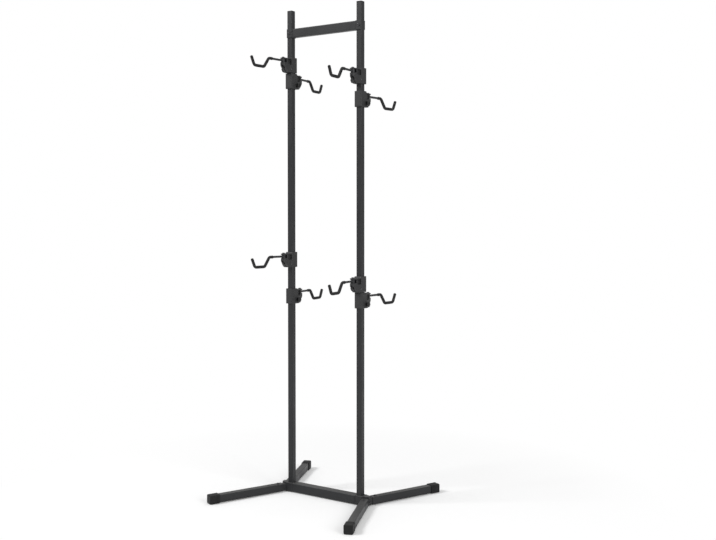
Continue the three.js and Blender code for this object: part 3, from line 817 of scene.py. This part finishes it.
class RACK_OT_leg_boots(bpy.types.Operator):
    """Build the moulded boots on the ends of the legs"""

    bl_idname = "rack.leg_boots"
    bl_label = "Leg boots"

    def execute(self, context):
        steps = context.scene.rack_shapes.rounding_steps
        bore = square(LEG_SIZE + 2 * SEAT, LEG_CORNER, steps)
        start, end = LEG_REACH - BOOT_LENGTH, LEG_REACH

        def shell(drop, height):
            return level(square(BOOT_SIZE, BOOT_CORNER, steps, drop), height)

        rings = [level(bore, end - BOOT_END), level(bore, start), shell(BOOT_LIP, start)]
        rings += [shell(BOOT_LIP * (1 - math.sin(a)), start + BOOT_LIP * (1 - math.cos(a)))
                  for a in (math.pi / 8, math.pi / 4, math.pi * 3 / 8, math.pi / 2)]
        for line in BOOT_GROOVES:
            rings += [shell(0, start + line - BOOT_GROOVE), shell(BOOT_GROOVE, start + line),
                      shell(0, start + line + BOOT_GROOVE)]
        for step in range(steps + 1):
            angle = math.pi / 2 * step / steps
            rings.append(shell(BOOT_NOSE * (1 - math.cos(angle)), end - BOOT_NOSE * (1 - math.sin(angle))))
        rings += [shell(8 * MM, end), shell(8.6 * MM, end - 0.6 * MM), shell(14 * MM, end - 0.6 * MM)]
        for turn in (-1, 1):
            mesh = bmesh.new()
            loft(mesh, rings, place=leg_turn(turn) @ AXIS_X)
            data = finished(mesh, "leg boot")
            for post, out in POSTS.items():
                side = "rear" if turn == out else "front"
                place_piece(f"leg_boot_{post}_{side}", data, finish("cap"), "frame",
                            [f"leg_cap_{post}_{side}"], end_place(out))
        return {"FINISHED"}


class RACK_OT_hubs(bpy.types.Operator):
    """Build the welded hubs with their stubs for the legs"""

    bl_idname = "rack.hubs"
    bl_label = "Hubs"

    def execute(self, context):
        shapes = context.scene.rack_shapes
        steps = shapes.rounding_steps
        inner_face = -RAIL_SIZE / 2 + HUB_FLOOR
        across = HUB_FACE_REACH * math.sin(LEG_ANGLE)
        out = APEX_REACH + HUB_FACE_REACH * math.cos(LEG_ANGLE)
        face_out = LEG_SIZE / 2 * math.sin(LEG_ANGLE)
        face_across = LEG_SIZE / 2 * math.cos(LEG_ANGLE)
        half = RAIL_SIZE / 2
        plan = outline([
            (inner_face, -half, HUB_CORNER),
            (out - face_out, -across - face_across, HUB_CORNER),
            (out + face_out, face_across - across, HUB_CORNER),
            (out + face_out, across - face_across, HUB_CORNER),
            (out - face_out, across + face_across, HUB_CORNER),
            (inner_face, half, HUB_CORNER),
        ], steps)
        block = bmesh.new()
        slab(block, plan, BASE_BOTTOM, BASE_BOTTOM + RAIL_SIZE, shapes.edge_round * 1.6, 3)
        pocket = bmesh.new()
        slab(pocket, rectangle(POST_SIZE + 4 * SEAT, POST_SIZE + 4 * SEAT, POST_CORNER, steps),
             BASE_BOTTOM + HUB_FLOOR, 2 * RAIL_SIZE)
        body, scrap = carve(block, [("DIFFERENCE", pocket)])
        mesh = settle(body, scrap)
        stub = LEG_SIZE - 2 * (LEG_WALL + STUB_CLEARANCE)
        for side in (-1, 1):
            turned = leg_turn(side)
            slab(mesh, rectangle(stub, stub, LEG_CORNER, steps), HUB_FACE_REACH - 2 * MM,
                 HUB_FACE_REACH + LEG_NECK + 8 * MM, place=turned @ AXIS_X)
            root = turned @ AXIS_X @ Matrix.Translation((0, 0, HUB_FACE_REACH + 0.4 * MM))
            bead(mesh, rectangle(stub, stub, LEG_CORNER, steps), shapes.bead_radius * 0.8, place=root)
        seam = rectangle(POST_SIZE + 9 * SEAT, POST_SIZE + 9 * SEAT, POST_CORNER + 3 * SEAT, steps)
        bead(mesh, seam, shapes.bead_radius * 0.5,
             place=Matrix.Translation((0, 0, BASE_BOTTOM + RAIL_SIZE)))
        data = finished(mesh, "hub block")
        for post, way in POSTS.items():
            place_piece(f"hub_block_{post}", data, finish("coat"), "frame",
                        [f"hub_{post}"], end_place(way))
        return {"FINISHED"}


class RACK_OT_crossbar(bpy.types.Operator):
    """Build the crossbar with the saddles that wrap the posts"""

    bl_idname = "rack.crossbar"
    bl_label = "Crossbar"

    def execute(self, context):
        shapes = context.scene.rack_shapes
        steps = shapes.rounding_steps
        tube_half = POST_X - SADDLE_HALF
        inner = POST_SIZE / 2 + SADDLE_CLEARANCE
        tall = CROSSBAR_TALL / 2
        mesh = bmesh.new()
        square_tube(mesh, CROSSBAR_DEEP, CROSSBAR_TALL, LEG_WALL, CROSSBAR_CORNER, -tube_half, tube_half,
                    steps, AXIS_X)
        saddle = outline([
            (-SADDLE_HALF, -SADDLE_HALF, SADDLE_SHEET), (POST_SIZE / 2, -SADDLE_HALF, 1 * MM),
            (POST_SIZE / 2, -inner, 1 * MM), (-inner, -inner, 0.6 * MM), (-inner, inner, 0.6 * MM),
            (POST_SIZE / 2, inner, 1 * MM), (POST_SIZE / 2, SADDLE_HALF, 1 * MM),
            (-SADDLE_HALF, SADDLE_HALF, SADDLE_SHEET),
        ], steps)
        seam = rectangle(CROSSBAR_DEEP, CROSSBAR_TALL, CROSSBAR_CORNER, steps)
        for out in POSTS.values():
            place = end_place(out)
            slab(mesh, saddle, -tall, tall, shapes.edge_round * 0.6, 2, place)
            bead(mesh, seam, shapes.bead_radius * 0.8,
                 place=place @ Matrix.Translation((-SADDLE_HALF - 0.2 * MM, 0, 0)) @ AXIS_X)
        place_piece("crossbar_tube", finished(mesh, "crossbar tube"), finish("coat"), "frame",
                    ["crossbar"], Matrix.Translation((0, 0, CROSSBAR_Z)))
        return {"FINISHED"}


# Fasteners

def socket_head(mesh, place=Matrix()):
    """A button head above zero with a hexagon socket."""
    count = 36
    rim = circle(BOLT_HEAD_RADIUS, count)
    rings = [level(rim, 0), level(rim, HEAD_RIM)]
    for step in range(1, 6):
        angle = HEAD_FALL * step / 5
        radius = BOLT_HEAD_RADIUS - (BOLT_HEAD_RADIUS - HEAD_TOP_RADIUS) * (
            1 - math.cos(angle)) / (1 - math.cos(HEAD_FALL))
        height = HEAD_RIM + (BOLT_HEAD_HEIGHT - HEAD_RIM) * math.sin(angle) / math.sin(HEAD_FALL)
        rings.append(level(circle(radius, count), height))
    socket = hexagon(SOCKET_ACROSS, count)
    rings += [level(circle(SOCKET_MOUTH_RADIUS, count), BOLT_HEAD_HEIGHT),
              level(socket, BOLT_HEAD_HEIGHT - SOCKET_LIP),
              level(socket, BOLT_HEAD_HEIGHT - SOCKET_DEPTH)]
    loft(mesh, rings, place=place)


def shank(mesh, low, high, place=Matrix()):
    slab(mesh, circle(BOLT_RADIUS, 24), low, high, 0.4 * MM, 2, place)


def lock_nut(mesh, low, high, place=Matrix()):
    """A hexagon nut between two heights with chamfered corners and a round collar below."""
    count = 48
    across = 2 * BOLT_HEAD_RADIUS * math.cos(math.pi / 6)
    flats = hexagon(across, count)
    washed = [point * min(1, 0.985 * across / 2 / point.length) for point in flats]
    collar = circle(across / 2 * 0.82, count)
    shoulder = low + NUT_COLLAR_HEIGHT + 0.2 * MM
    rings = [level(circle(across / 2 * 0.66, count), low), level(collar, low + 0.3 * MM),
             level(collar, low + NUT_COLLAR_HEIGHT), level(washed, shoulder),
             level(flats, shoulder + NUT_CHAMFER), level(flats, high - NUT_CHAMFER), level(washed, high)]
    loft(mesh, rings, place=place)


def bolt_with_nut(grip, name):
    """A bolt along Z: its head above zero and its nut below the grip."""
    mesh = bmesh.new()
    socket_head(mesh)
    shank(mesh, -grip - NUT_HEIGHT - 1 * MM, 0)
    lock_nut(mesh, -grip - NUT_HEIGHT, -grip)
    return finished(mesh, name, math.radians(30))


class RACK_OT_fasteners(bpy.types.Operator):
    """Build the foot bolts, leg screws and crossbar bolts"""

    bl_idname = "rack.fasteners"
    bl_label = "Frame fasteners"

    def execute(self, context):
        steel = finish("fastener")
        head = bmesh.new()
        socket_head(head)
        shank(head, -LEG_SCREW_LENGTH, 0)
        screw = finished(head, "socket screw", math.radians(30))
        bolt = bolt_with_nut(2 * (SADDLE_HALF + SEAT), "crossbar bolt")
        long_bolt = bmesh.new()
        socket_head(long_bolt)
        shank(long_bolt, -span("foot_bolt_left").x + BOLT_HEAD_HEIGHT, 0)
        foot = finished(long_bolt, "foot bolt", math.radians(30))
        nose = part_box("foot_bolt_right")[1].x - POST_X - BOLT_HEAD_HEIGHT
        for post, out in POSTS.items():
            place_piece(f"foot_bolt_long_{post}", foot, steel, "frame",
                        [f"foot_bolt_{post}"],
                        end_place(out) @ Matrix.Translation((nose, 0, RAIL_Z)) @ AXIS_X)
            standing = Matrix.Translation((out * POST_X, -SADDLE_HALF - SEAT, CROSSBAR_Z))
            place_piece(f"crossbar_bolt_set_{post}", bolt, steel, "frame",
                        [f"crossbar_bolt_{post}"], standing @ Matrix.Rotation(math.pi / 2, 4, "X"))
            for side, back in SIDES.items():
                at = (HUB_FACE_REACH + LEG_NECK + LEG_SCREW_INSET, 0, LEG_SIZE / 2 + SEAT)
                place_piece(f"leg_screw_{post}_{side}", screw, steel, "frame",
                            (), leg_place(out, back) @ Matrix.Translation(at))
        return {"FINISHED"}


# Brackets, arms, cradles and knobs

def casting_data(shapes):
    """The bracket: a collar, a gusset and two lugs, carved from crossed outlines and smoothed."""
    steps = 8
    over = 10 * MM
    bore_half = POST_SIZE / 2 + BORE_CLEARANCE
    collar_half = bore_half + COLLAR_SIDE_WALL
    collar_back = bore_half + COLLAR_BACK_WALL
    lug_top = EYE_HEIGHT / 2 + EYE_CLEARANCE + LUG_THICKNESS
    nose = PIVOT_REACH + BARREL_RADIUS
    slot = EYE_HEIGHT / 2 + EYE_CLEARANCE
    past = nose + over

    def prism(points, low, high, place=Matrix()):
        mesh = bmesh.new()
        slab(mesh, points, low, high, place=place)
        return mesh

    def box(low, high):
        size = [b - a for a, b in zip(low, high)]
        centre = [(a + b) / 2 for a, b in zip(low, high)]
        return prism(rectangle(size[0], size[1], 0, steps), -size[2] / 2, size[2] / 2,
                     Matrix.Translation(centre))

    side = outline([
        (-collar_back, -COLLAR_DROP, COLLAR_CORNER), (TOE_REACH, -COLLAR_DROP, GUSSET_ROUNDING),
        (nose, -NOSE_DROP, GUSSET_ROUNDING), (nose, lug_top, SHOULDER_FILLET),
        (bore_half + SHOULDER_RUN, lug_top, SHOULDER_FILLET / 2),
        (bore_half + SHOULDER_RUN / 2, COLLAR_RISE, SHOULDER_FILLET / 2),
        (-collar_back, COLLAR_RISE, SHOULDER_FILLET),
    ], steps)
    shoulder = POST_SIZE / 2 + SHOULDER_RUN
    plan = outline([
        (-collar_half, -collar_back, COLLAR_CORNER), (collar_half, -collar_back, COLLAR_CORNER),
        (collar_half, shoulder, COLLAR_CORNER), (BARREL_RADIUS, PIVOT_REACH, 0),
        (BARREL_RADIUS, nose, BARREL_RADIUS * 0.98), (-BARREL_RADIUS, nose, BARREL_RADIUS * 0.98),
        (-BARREL_RADIUS, PIVOT_REACH, 0), (-collar_half, shoulder, COLLAR_CORNER),
    ], steps)
    notch_reach = math.hypot(EYE_RADIUS + STOP_LENGTH, STOP_WIDTH / 2) + 2 * EYE_CLEARANCE
    half_sweep = SWIVEL_LIMIT + math.atan((STOP_WIDTH / 2 + EYE_CLEARANCE) / EYE_RADIUS)
    notch = [Vector((0, 0))] + [
        Vector((notch_reach * math.sin(a), -notch_reach * math.cos(a)))
        for a in (half_sweep * (step / 6 - 1) for step in range(13))
    ]
    pocket_end = PIVOT_REACH - EYE_RADIUS - POCKET_MARGIN
    window = outline([
        (STUD_REACH, -SLIT_TOP, POCKET_NEAR_CORNER), (pocket_end, -SLIT_TOP, POCKET_ROUNDING),
        (pocket_end, lug_top - POCKET_MARGIN, POCKET_CORNER),
        (STUD_REACH, lug_top - POCKET_MARGIN, POCKET_CORNER),
    ], steps)
    hole = circle(BOLT_RADIUS + BOLT_CLEARANCE, 32)
    nut_pocket = BOLT_HEAD_RADIUS + NUT_POCKET_CLEARANCE
    stud_line = Matrix.Translation((0, STUD_REACH, -STUD_DROP))
    pivot_line = Matrix.Translation((0, PIVOT_REACH, 0))
    body, scrap = carve(prism(side, -collar_half - over, collar_half + over, AXIS_X), [
        ("INTERSECT", prism(plan, -COLLAR_DROP - over, COLLAR_RISE + over)),
        ("UNION", prism(circle(CLAMP_PAD_RADIUS, 48), -collar_half, collar_half, stud_line @ AXIS_X)),
        ("DIFFERENCE", prism(rectangle(2 * bore_half, 2 * bore_half, POST_CORNER, steps),
                             -COLLAR_DROP - over, COLLAR_RISE + over)),
        ("DIFFERENCE", box((-past, PIVOT_REACH - EYE_RADIUS - EYE_CLEARANCE, -slot), (past, past, slot))),
        ("DIFFERENCE", prism(notch, -slot, slot, pivot_line)),
        ("DIFFERENCE", box((-SLIT_WIDTH / 2, 0, -COLLAR_DROP - over), (SLIT_WIDTH / 2, past, -SLIT_TOP))),
        ("DIFFERENCE", prism(hole, -past, past, stud_line @ AXIS_X)),
        ("DIFFERENCE", prism(hole, -past, past, pivot_line)),
        ("DIFFERENCE", prism(circle(nut_pocket, 32), -past, -lug_top, pivot_line)),
        ("DIFFERENCE", prism(window, POCKET_WEB / 2, collar_half + over, AXIS_X)),
        ("DIFFERENCE", prism(window, -collar_half - over, -POCKET_WEB / 2, AXIS_X)),
    ])
    remesh = body.modifiers.new("even skin", "REMESH")
    remesh.mode = "VOXEL"
    remesh.voxel_size = shapes.casting_voxel
    soften = body.modifiers.new("soft edges", "SMOOTH")
    soften.factor = 0.5
    soften.iterations = 6
    thin = body.modifiers.new("fewer faces", "DECIMATE")
    thin.ratio = 0.16
    return finished(settle(body, scrap), "bracket casting", math.radians(60))


class RACK_OT_brackets(bpy.types.Operator):
    """Build the cast brackets that grip the posts"""

    bl_idname = "rack.brackets"
    bl_label = "Brackets"

    def execute(self, context):
        data = casting_data(context.scene.rack_shapes)
        for name, out, back in stations():
            place_piece(f"bracket_casting_{name}", data, finish("casting"), f"clamp_{name}",
                        [f"bracket_{name}"], bracket_place(name, out, back))
        return {"FINISHED"}


class RACK_OT_pivot_pins(bpy.types.Operator):
    """Build the bolts that the arms swivel on"""

    bl_idname = "rack.pivot_pins"
    bl_label = "Pivot bolts"

    def execute(self, context):
        lug_top = EYE_HEIGHT / 2 + EYE_CLEARANCE + LUG_THICKNESS
        data = bolt_with_nut(2 * (lug_top + SEAT), "pivot bolt")
        for name, out, back in stations():
            at = Matrix.Translation((0, PIVOT_REACH, lug_top + SEAT))
            place_piece(f"pivot_pin_{name}", data, finish("fastener"), f"clamp_{name}",
                        [f"pivot_bolt_{name}"], bracket_place(name, out, back) @ at)
        return {"FINISHED"}


def rod_corners(start):
    """The rod's corners in the arm's frame, as (y, z)."""
    bend = STRAIGHT_REACH - PIVOT_REACH
    cradle = bend + DROP_RUN
    end = cradle + CRADLE_RUN
    return [Vector(corner) for corner in (
        (start, 0), (bend, 0), (cradle, -CRADLE_DROP), (end, -CRADLE_DROP),
        (end + TIP_RUN, TIP_RISE - CRADLE_DROP))]


def bent_path(corners, radius, pitch):
    """Points and directions along a line whose corners are rounded, evenly spaced."""
    steps = 24
    points = [corners[0]]
    for before, corner, after in zip(corners, corners[1:], corners[2:]):
        back, ahead = (before - corner).normalized(), (after - corner).normalized()
        half = back.angle(ahead) / 2
        centre = corner + (back + ahead).normalized() * radius / math.sin(half)
        first = corner + back * radius / math.tan(half) - centre
        turn = math.copysign(math.pi - 2 * half, back.x * ahead.y - back.y * ahead.x)
        points += [centre + Matrix.Rotation(-turn * step / steps, 2) @ first for step in range(steps + 1)]
    points.append(corners[-1])
    reached = [0]
    for start, end in zip(points, points[1:]):
        reached.append(reached[-1] + (end - start).length)
    parts = round(reached[-1] / pitch)
    path = []
    index = 0
    for part in range(parts + 1):
        distance = reached[-1] * part / parts
        while index < len(points) - 2 and reached[index + 1] <= distance:
            index += 1
        share = (distance - reached[index]) / (reached[index + 1] - reached[index])
        path.append(points[index].lerp(points[index + 1], share))
    ahead = path[1:] + [path[-1]]
    behind = [path[0]] + path[:-1]
    return [(here, (after - before).normalized()) for here, after, before in zip(path, ahead, behind)]


def rod_ring(point, along, radius, count):
    """A round ring square to a path in the plane x = 0."""
    up = Vector((0, -along.y, along.x))
    centre = Vector((0, point.x, point.y))
    return [centre + radius * (Vector((1, 0, 0)) * math.cos(a) + up * math.sin(a)) for a in turns(count)]


def dome(point, along, radius, depth, steps, count):
    """Rings that close a rod with a rounded end."""
    rings = []
    for step in range(1, steps + 1):
        angle = math.pi / 2 * step / steps * 0.96
        centre = point + along * depth * math.sin(angle)
        rings.append(rod_ring(centre, along, radius * math.cos(angle), count))
    return rings


class RACK_OT_arms(bpy.types.Operator):
    """Build the bent arms with their eyes and stops"""

    bl_idname = "rack.arms"
    bl_label = "Arms"

    def execute(self, context):
        shapes = context.scene.rack_shapes
        count = 24
        eye = bmesh.new()
        slab(eye, circle(EYE_RADIUS, 48), -EYE_HEIGHT / 2, EYE_HEIGHT / 2, shapes.edge_round, 3)
        stop = bmesh.new()
        tongue = rectangle(STOP_WIDTH, EYE_RADIUS + STOP_LENGTH, 0.8 * MM, 3)
        slab(stop, tongue, -EYE_HEIGHT / 2, EYE_HEIGHT / 2, shapes.edge_round, 2,
             Matrix.Translation((0, -(EYE_RADIUS + STOP_LENGTH) / 2, 0)))
        rod = bmesh.new()
        path = bent_path(rod_corners(EYE_RADIUS / 2), ROD_BEND, 3 * MM)
        rings = [rod_ring(point, along, ROD_RADIUS, count) for point, along in path]
        loft(rod, rings + dome(*path[-1], ROD_RADIUS, -0.01 * MM, 1, count))
        bore = bmesh.new()
        slab(bore, circle(BOLT_RADIUS + BOLT_CLEARANCE, 32), -EYE_HEIGHT, EYE_HEIGHT)
        body, scrap = carve(eye, [("UNION", stop), ("UNION", rod), ("DIFFERENCE", bore)])
        mesh = settle(body, scrap)
        root = Matrix.Translation((0, EYE_RADIUS - 0.4 * MM, 0)) @ Matrix.Rotation(-math.pi / 2, 4, "X")
        bead(mesh, circle(ROD_RADIUS, 24), 1.3 * MM, 1.8 * MM, place=root)
        data = finished(mesh, "arm rod")
        for name, out, back in stations():
            place_piece(f"arm_rod_{name}", data, finish("coat"), f"swing_{name}",
                        [f"arm_{name}"], arm_place(name, out, back))
        return {"FINISHED"}


class RACK_OT_cradles(bpy.types.Operator):
    """Build the rubber sleeves over the cradles"""

    bl_idname = "rack.cradles"
    bl_label = "Cradle sleeves"

    def execute(self, context):
        shapes = context.scene.rack_shapes
        count = 24
        start = STRAIGHT_REACH - SLEEVE_LEAD - PIVOT_REACH
        bore = ROD_RADIUS + SLEEVE_CLEARANCE
        outer = bore + SLEEVE_WALL
        path = bent_path(rod_corners(start), ROD_BEND, 1.1 * MM)
        inside = [rod_ring(point, along, bore, count) for point, along in reversed(path)]
        deep = rod_ring(path[-1][0] + path[-1][1] * SLEEVE_CLEARANCE, path[-1][1], bore, count)
        lip = [(0.0, 0.25 * MM), (0.5 * MM, 0.0), (2.6 * MM, 0.0), (3.1 * MM, 0.5 * MM)]
        mouth, heading = path[0]
        edge = [rod_ring(mouth + heading * reach, heading, outer - drop, count) for reach, drop in lip]
        ribbed = range(28, len(path) - 44)
        skin = []
        for index, (point, along) in list(enumerate(path))[4:]:
            rib = shapes.rib_height * (1 - math.cos(math.pi * (index - ribbed[0]) / 2)) / 2
            skin.append(rod_ring(point, along, outer - 0.45 * MM + rib * (index in ribbed), count))
        tip = dome(*path[-1], outer - 0.45 * MM, SLEEVE_TIP + 2 * MM, 7, count)
        mesh = bmesh.new()
        loft(mesh, [deep] + inside + edge + skin + tip)
        data = finished(mesh, "cradle sleeve", math.radians(50))
        for name, out, back in stations():
            place_piece(f"cradle_cover_{name}", data, finish("rubber"), f"swing_{name}",
                        [f"cradle_{name}"], arm_place(name, out, back))
        return {"FINISHED"}


def knob_data(shapes):
    """A lobed grip with a neck, in a frame whose +Z points away from the bracket."""
    count = 80
    radius = shapes.knob_radius

    def lobed(drop, depth):
        return [
            Vector((math.cos(a), math.sin(a))) * (radius - drop - depth * (1 - math.cos(KNOB_LOBES * a)) / 2)
            for a in turns(count)
        ]

    start = POST_SIZE / 2 + BORE_CLEARANCE + COLLAR_SIDE_WALL + SEAT
    grip = start + KNOB_NECK_LENGTH
    end = grip + KNOB_THICKNESS
    depth = KNOB_LOBE_DEPTH
    rings = [level(circle(KNOB_NECK_RADIUS - 0.5 * MM, count), start),
             level(circle(KNOB_NECK_RADIUS, count), start + 0.5 * MM),
             level(circle(KNOB_NECK_RADIUS, count), grip - 0.8 * MM),
             level(circle(KNOB_NECK_RADIUS + 0.8 * MM, count), grip)]
    for drop, height in KNOB_PROFILE:
        rings.append(level(lobed(drop * MM, depth), grip + height * MM))
    rings += [level(circle(reach * MM, count), end - below * MM) for reach, below in KNOB_DISH]
    mesh = bmesh.new()
    loft(mesh, rings)
    return finished(mesh, "clamp knob", math.radians(45))


def stud_data():
    """The knob's threaded stud, in the same frame."""
    count = 24
    collar_half = POST_SIZE / 2 + BORE_CLEARANCE + COLLAR_SIDE_WALL
    end = -collar_half - BOLT_RADIUS / 2
    rows = round(THREAD_LENGTH / THREAD_PITCH * 8)
    rings = [level(circle(BOLT_RADIUS - 0.8 * MM, count), end)]
    for row in range(rows + 1):
        height = end + 0.4 * MM + THREAD_LENGTH * row / rows
        rings.append([
            (r * math.cos(a), r * math.sin(a), height)
            for a in turns(count)
            for r in [BOLT_RADIUS - THREAD_DEPTH * (1 + math.cos(a + 2 * math.pi * row / 8))]
        ])
    rings += [level(circle(BOLT_RADIUS - THREAD_DEPTH, count), end + THREAD_LENGTH + 1 * MM),
              level(circle(BOLT_RADIUS - THREAD_DEPTH, count), collar_half + KNOB_NECK_LENGTH)]
    mesh = bmesh.new()
    loft(mesh, rings)
    return finished(mesh, "knob stud", math.radians(60))


class RACK_OT_knobs(bpy.types.Operator):
    """Build the clamp knobs and their studs"""

    bl_idname = "rack.knobs"
    bl_label = "Clamp knobs"

    def execute(self, context):
        knob, stud = knob_data(context.scene.rack_shapes), stud_data()
        for name, out, back in stations():
            at = bracket_place(name, out, back) @ Matrix.Translation((0, STUD_REACH, -STUD_DROP)) @ AXIS_X
            place_piece(f"clamp_knob_{name}", knob, finish("knob"), f"grip_{name}",
                        [f"knob_{name}"], at)
            place_piece(f"knob_stud_{name}", stud, finish("fastener"), f"grip_{name}",
                        (), at)
        return {"FINISHED"}


# Floor, lights and camera

def floor_material(colour):
    """A pale floor that keeps the rack's soft shadow and fades into the background."""
    material = bpy.data.materials.new("pale floor")
    material.use_nodes = True
    tree = material.node_tree
    tree.nodes.clear()
    matte = add(tree, "ShaderNodeBsdfDiffuse", {"Color": (*colour, 1)}).outputs[0]
    white = add(tree, "ShaderNodeEmission", {"Color": (1, 1, 1, 1), "Strength": 1.0}).outputs[0]
    rays = add(tree, "ShaderNodeLightPath").outputs
    seen = maths(tree, "MAXIMUM", maths(tree, "MAXIMUM", rays["Is Camera Ray"], rays["Is Glossy Ray"]),
                 rays["Is Transmission Ray"])
    place = add(tree, "ShaderNodeTexCoord").outputs["Object"]
    distance = add(tree, "ShaderNodeVectorMath", {0: place}, operation="LENGTH").outputs["Value"]
    fade = ranged(tree, distance, *FLOOR_FADE, 0.05, 1.0)
    shader = add(tree, "ShaderNodeMixShader", {0: maths(tree, "MULTIPLY", seen, fade), 1: matte, 2: white})
    add(tree, "ShaderNodeOutputMaterial", {"Surface": shader.outputs[0]})
    return material


def white_world(strength):
    """A world that is white to the camera, and lights the rack and its reflections more softly."""
    world = bpy.data.worlds.new("studio")
    bpy.context.scene.world = world
    world.use_nodes = True
    tree = world.node_tree
    tree.nodes.clear()
    rays = add(tree, "ShaderNodeLightPath").outputs
    seen = maths(tree, "MAXIMUM", rays["Is Camera Ray"], rays["Is Transmission Ray"])
    soft = add(tree, "ShaderNodeBackground", {"Color": (1, 1, 1, 1), "Strength": strength}).outputs[0]
    bright = add(tree, "ShaderNodeBackground", {"Color": (1, 1, 1, 1), "Strength": 1.0}).outputs[0]
    mixed = add(tree, "ShaderNodeMixShader", {0: seen, 1: soft, 2: bright})
    add(tree, "ShaderNodeOutputWorld", {"Surface": mixed.outputs[0]})


def soft_lamp(name, place, aim, size, power):
    lamp = bpy.data.lights.new(name, "AREA")
    lamp.shape = "SQUARE"
    lamp.size = size
    lamp.energy = power
    thing = bpy.data.objects.new(name, lamp)
    bpy.context.scene.collection.objects.link(thing)
    thing.location = place
    thing.rotation_euler = (Vector(aim) - Vector(place)).to_track_quat("-Z", "Y").to_euler()


class RACK_OT_stage(bpy.types.Operator):
    """Build the floor, the lights and the camera"""

    bl_idname = "rack.stage"
    bl_label = "Stage"

    def execute(self, context):
        mesh = bmesh.new()
        loft(mesh, [level(circle(radius, 64), 0) for radius in FLOOR_RINGS])
        bmesh.ops.delete(mesh, geom=[f for f in mesh.faces if len(f.verts) > 4 and f.calc_area() > 100],
                         context="FACES_ONLY")
        floor = bpy.data.objects.new("floor", finished(mesh, "floor"))
        context.scene.collection.objects.link(floor)
        floor.data.materials.append(floor_material(context.scene.rack_finishes.floor))
        white_world(WORLD_STRENGTH)
        for lamp in LAMPS:
            soft_lamp(*lamp)
        camera = bpy.data.objects.new("camera", bpy.data.cameras.new("camera"))
        context.scene.collection.objects.link(camera)
        camera.data.sensor_width = SENSOR_WIDTH
        camera.data.lens = LENS_PIXELS / IMAGE_WIDTH * SENSOR_WIDTH
        camera.data.shift_y = SHIFT_PIXELS / IMAGE_WIDTH
        camera.location = CAMERA_PLACE
        camera.rotation_euler = (math.pi / 2 - CAMERA_PITCH, 0, CAMERA_YAW)
        context.scene.camera = camera
        context.scene.view_settings.view_transform = "Standard"
        return {"FINISHED"}


OPERATORS = (
    RACK_OT_posts, RACK_OT_post_plugs, RACK_OT_base_rail, RACK_OT_legs, RACK_OT_leg_boots, RACK_OT_hubs,
    RACK_OT_crossbar, RACK_OT_fasteners, RACK_OT_brackets, RACK_OT_pivot_pins, RACK_OT_arms,
    RACK_OT_cradles, RACK_OT_knobs, RACK_OT_stage,
)


class RACK_PT_pieces(bpy.types.Panel):
    """Lists the rack's pieces, sizes and finishes"""

    bl_idname = "RACK_PT_pieces"
    bl_label = "Bike rack"
    bl_space_type = "VIEW_3D"
    bl_region_type = "UI"
    bl_category = "Bike rack"

    def draw(self, context):
        for operator in OPERATORS:
            self.layout.operator(operator.bl_idname)
        for group in (context.scene.rack_shapes, context.scene.rack_finishes):
            for key in group.bl_rna.properties.keys():
                if key not in ("rna_type", "name"):
                    self.layout.prop(group, key)


CLASSES = (RackShapes, RackFinishes, *OPERATORS, RACK_PT_pieces)


def register():
    for each in CLASSES:
        bpy.utils.register_class(each)
    bpy.types.Scene.rack_shapes = PointerProperty(type=RackShapes)
    bpy.types.Scene.rack_finishes = PointerProperty(type=RackFinishes)


def unregister():
    del bpy.types.Scene.rack_finishes
    del bpy.types.Scene.rack_shapes
    for each in reversed(CLASSES):
        bpy.utils.unregister_class(each)


def main():
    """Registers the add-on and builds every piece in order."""
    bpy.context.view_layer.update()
    register()
    for operator in OPERATORS:
        group, call = operator.bl_idname.split(".")
        getattr(getattr(bpy.ops, group), call)()


if __name__ == "__main__":
    main()
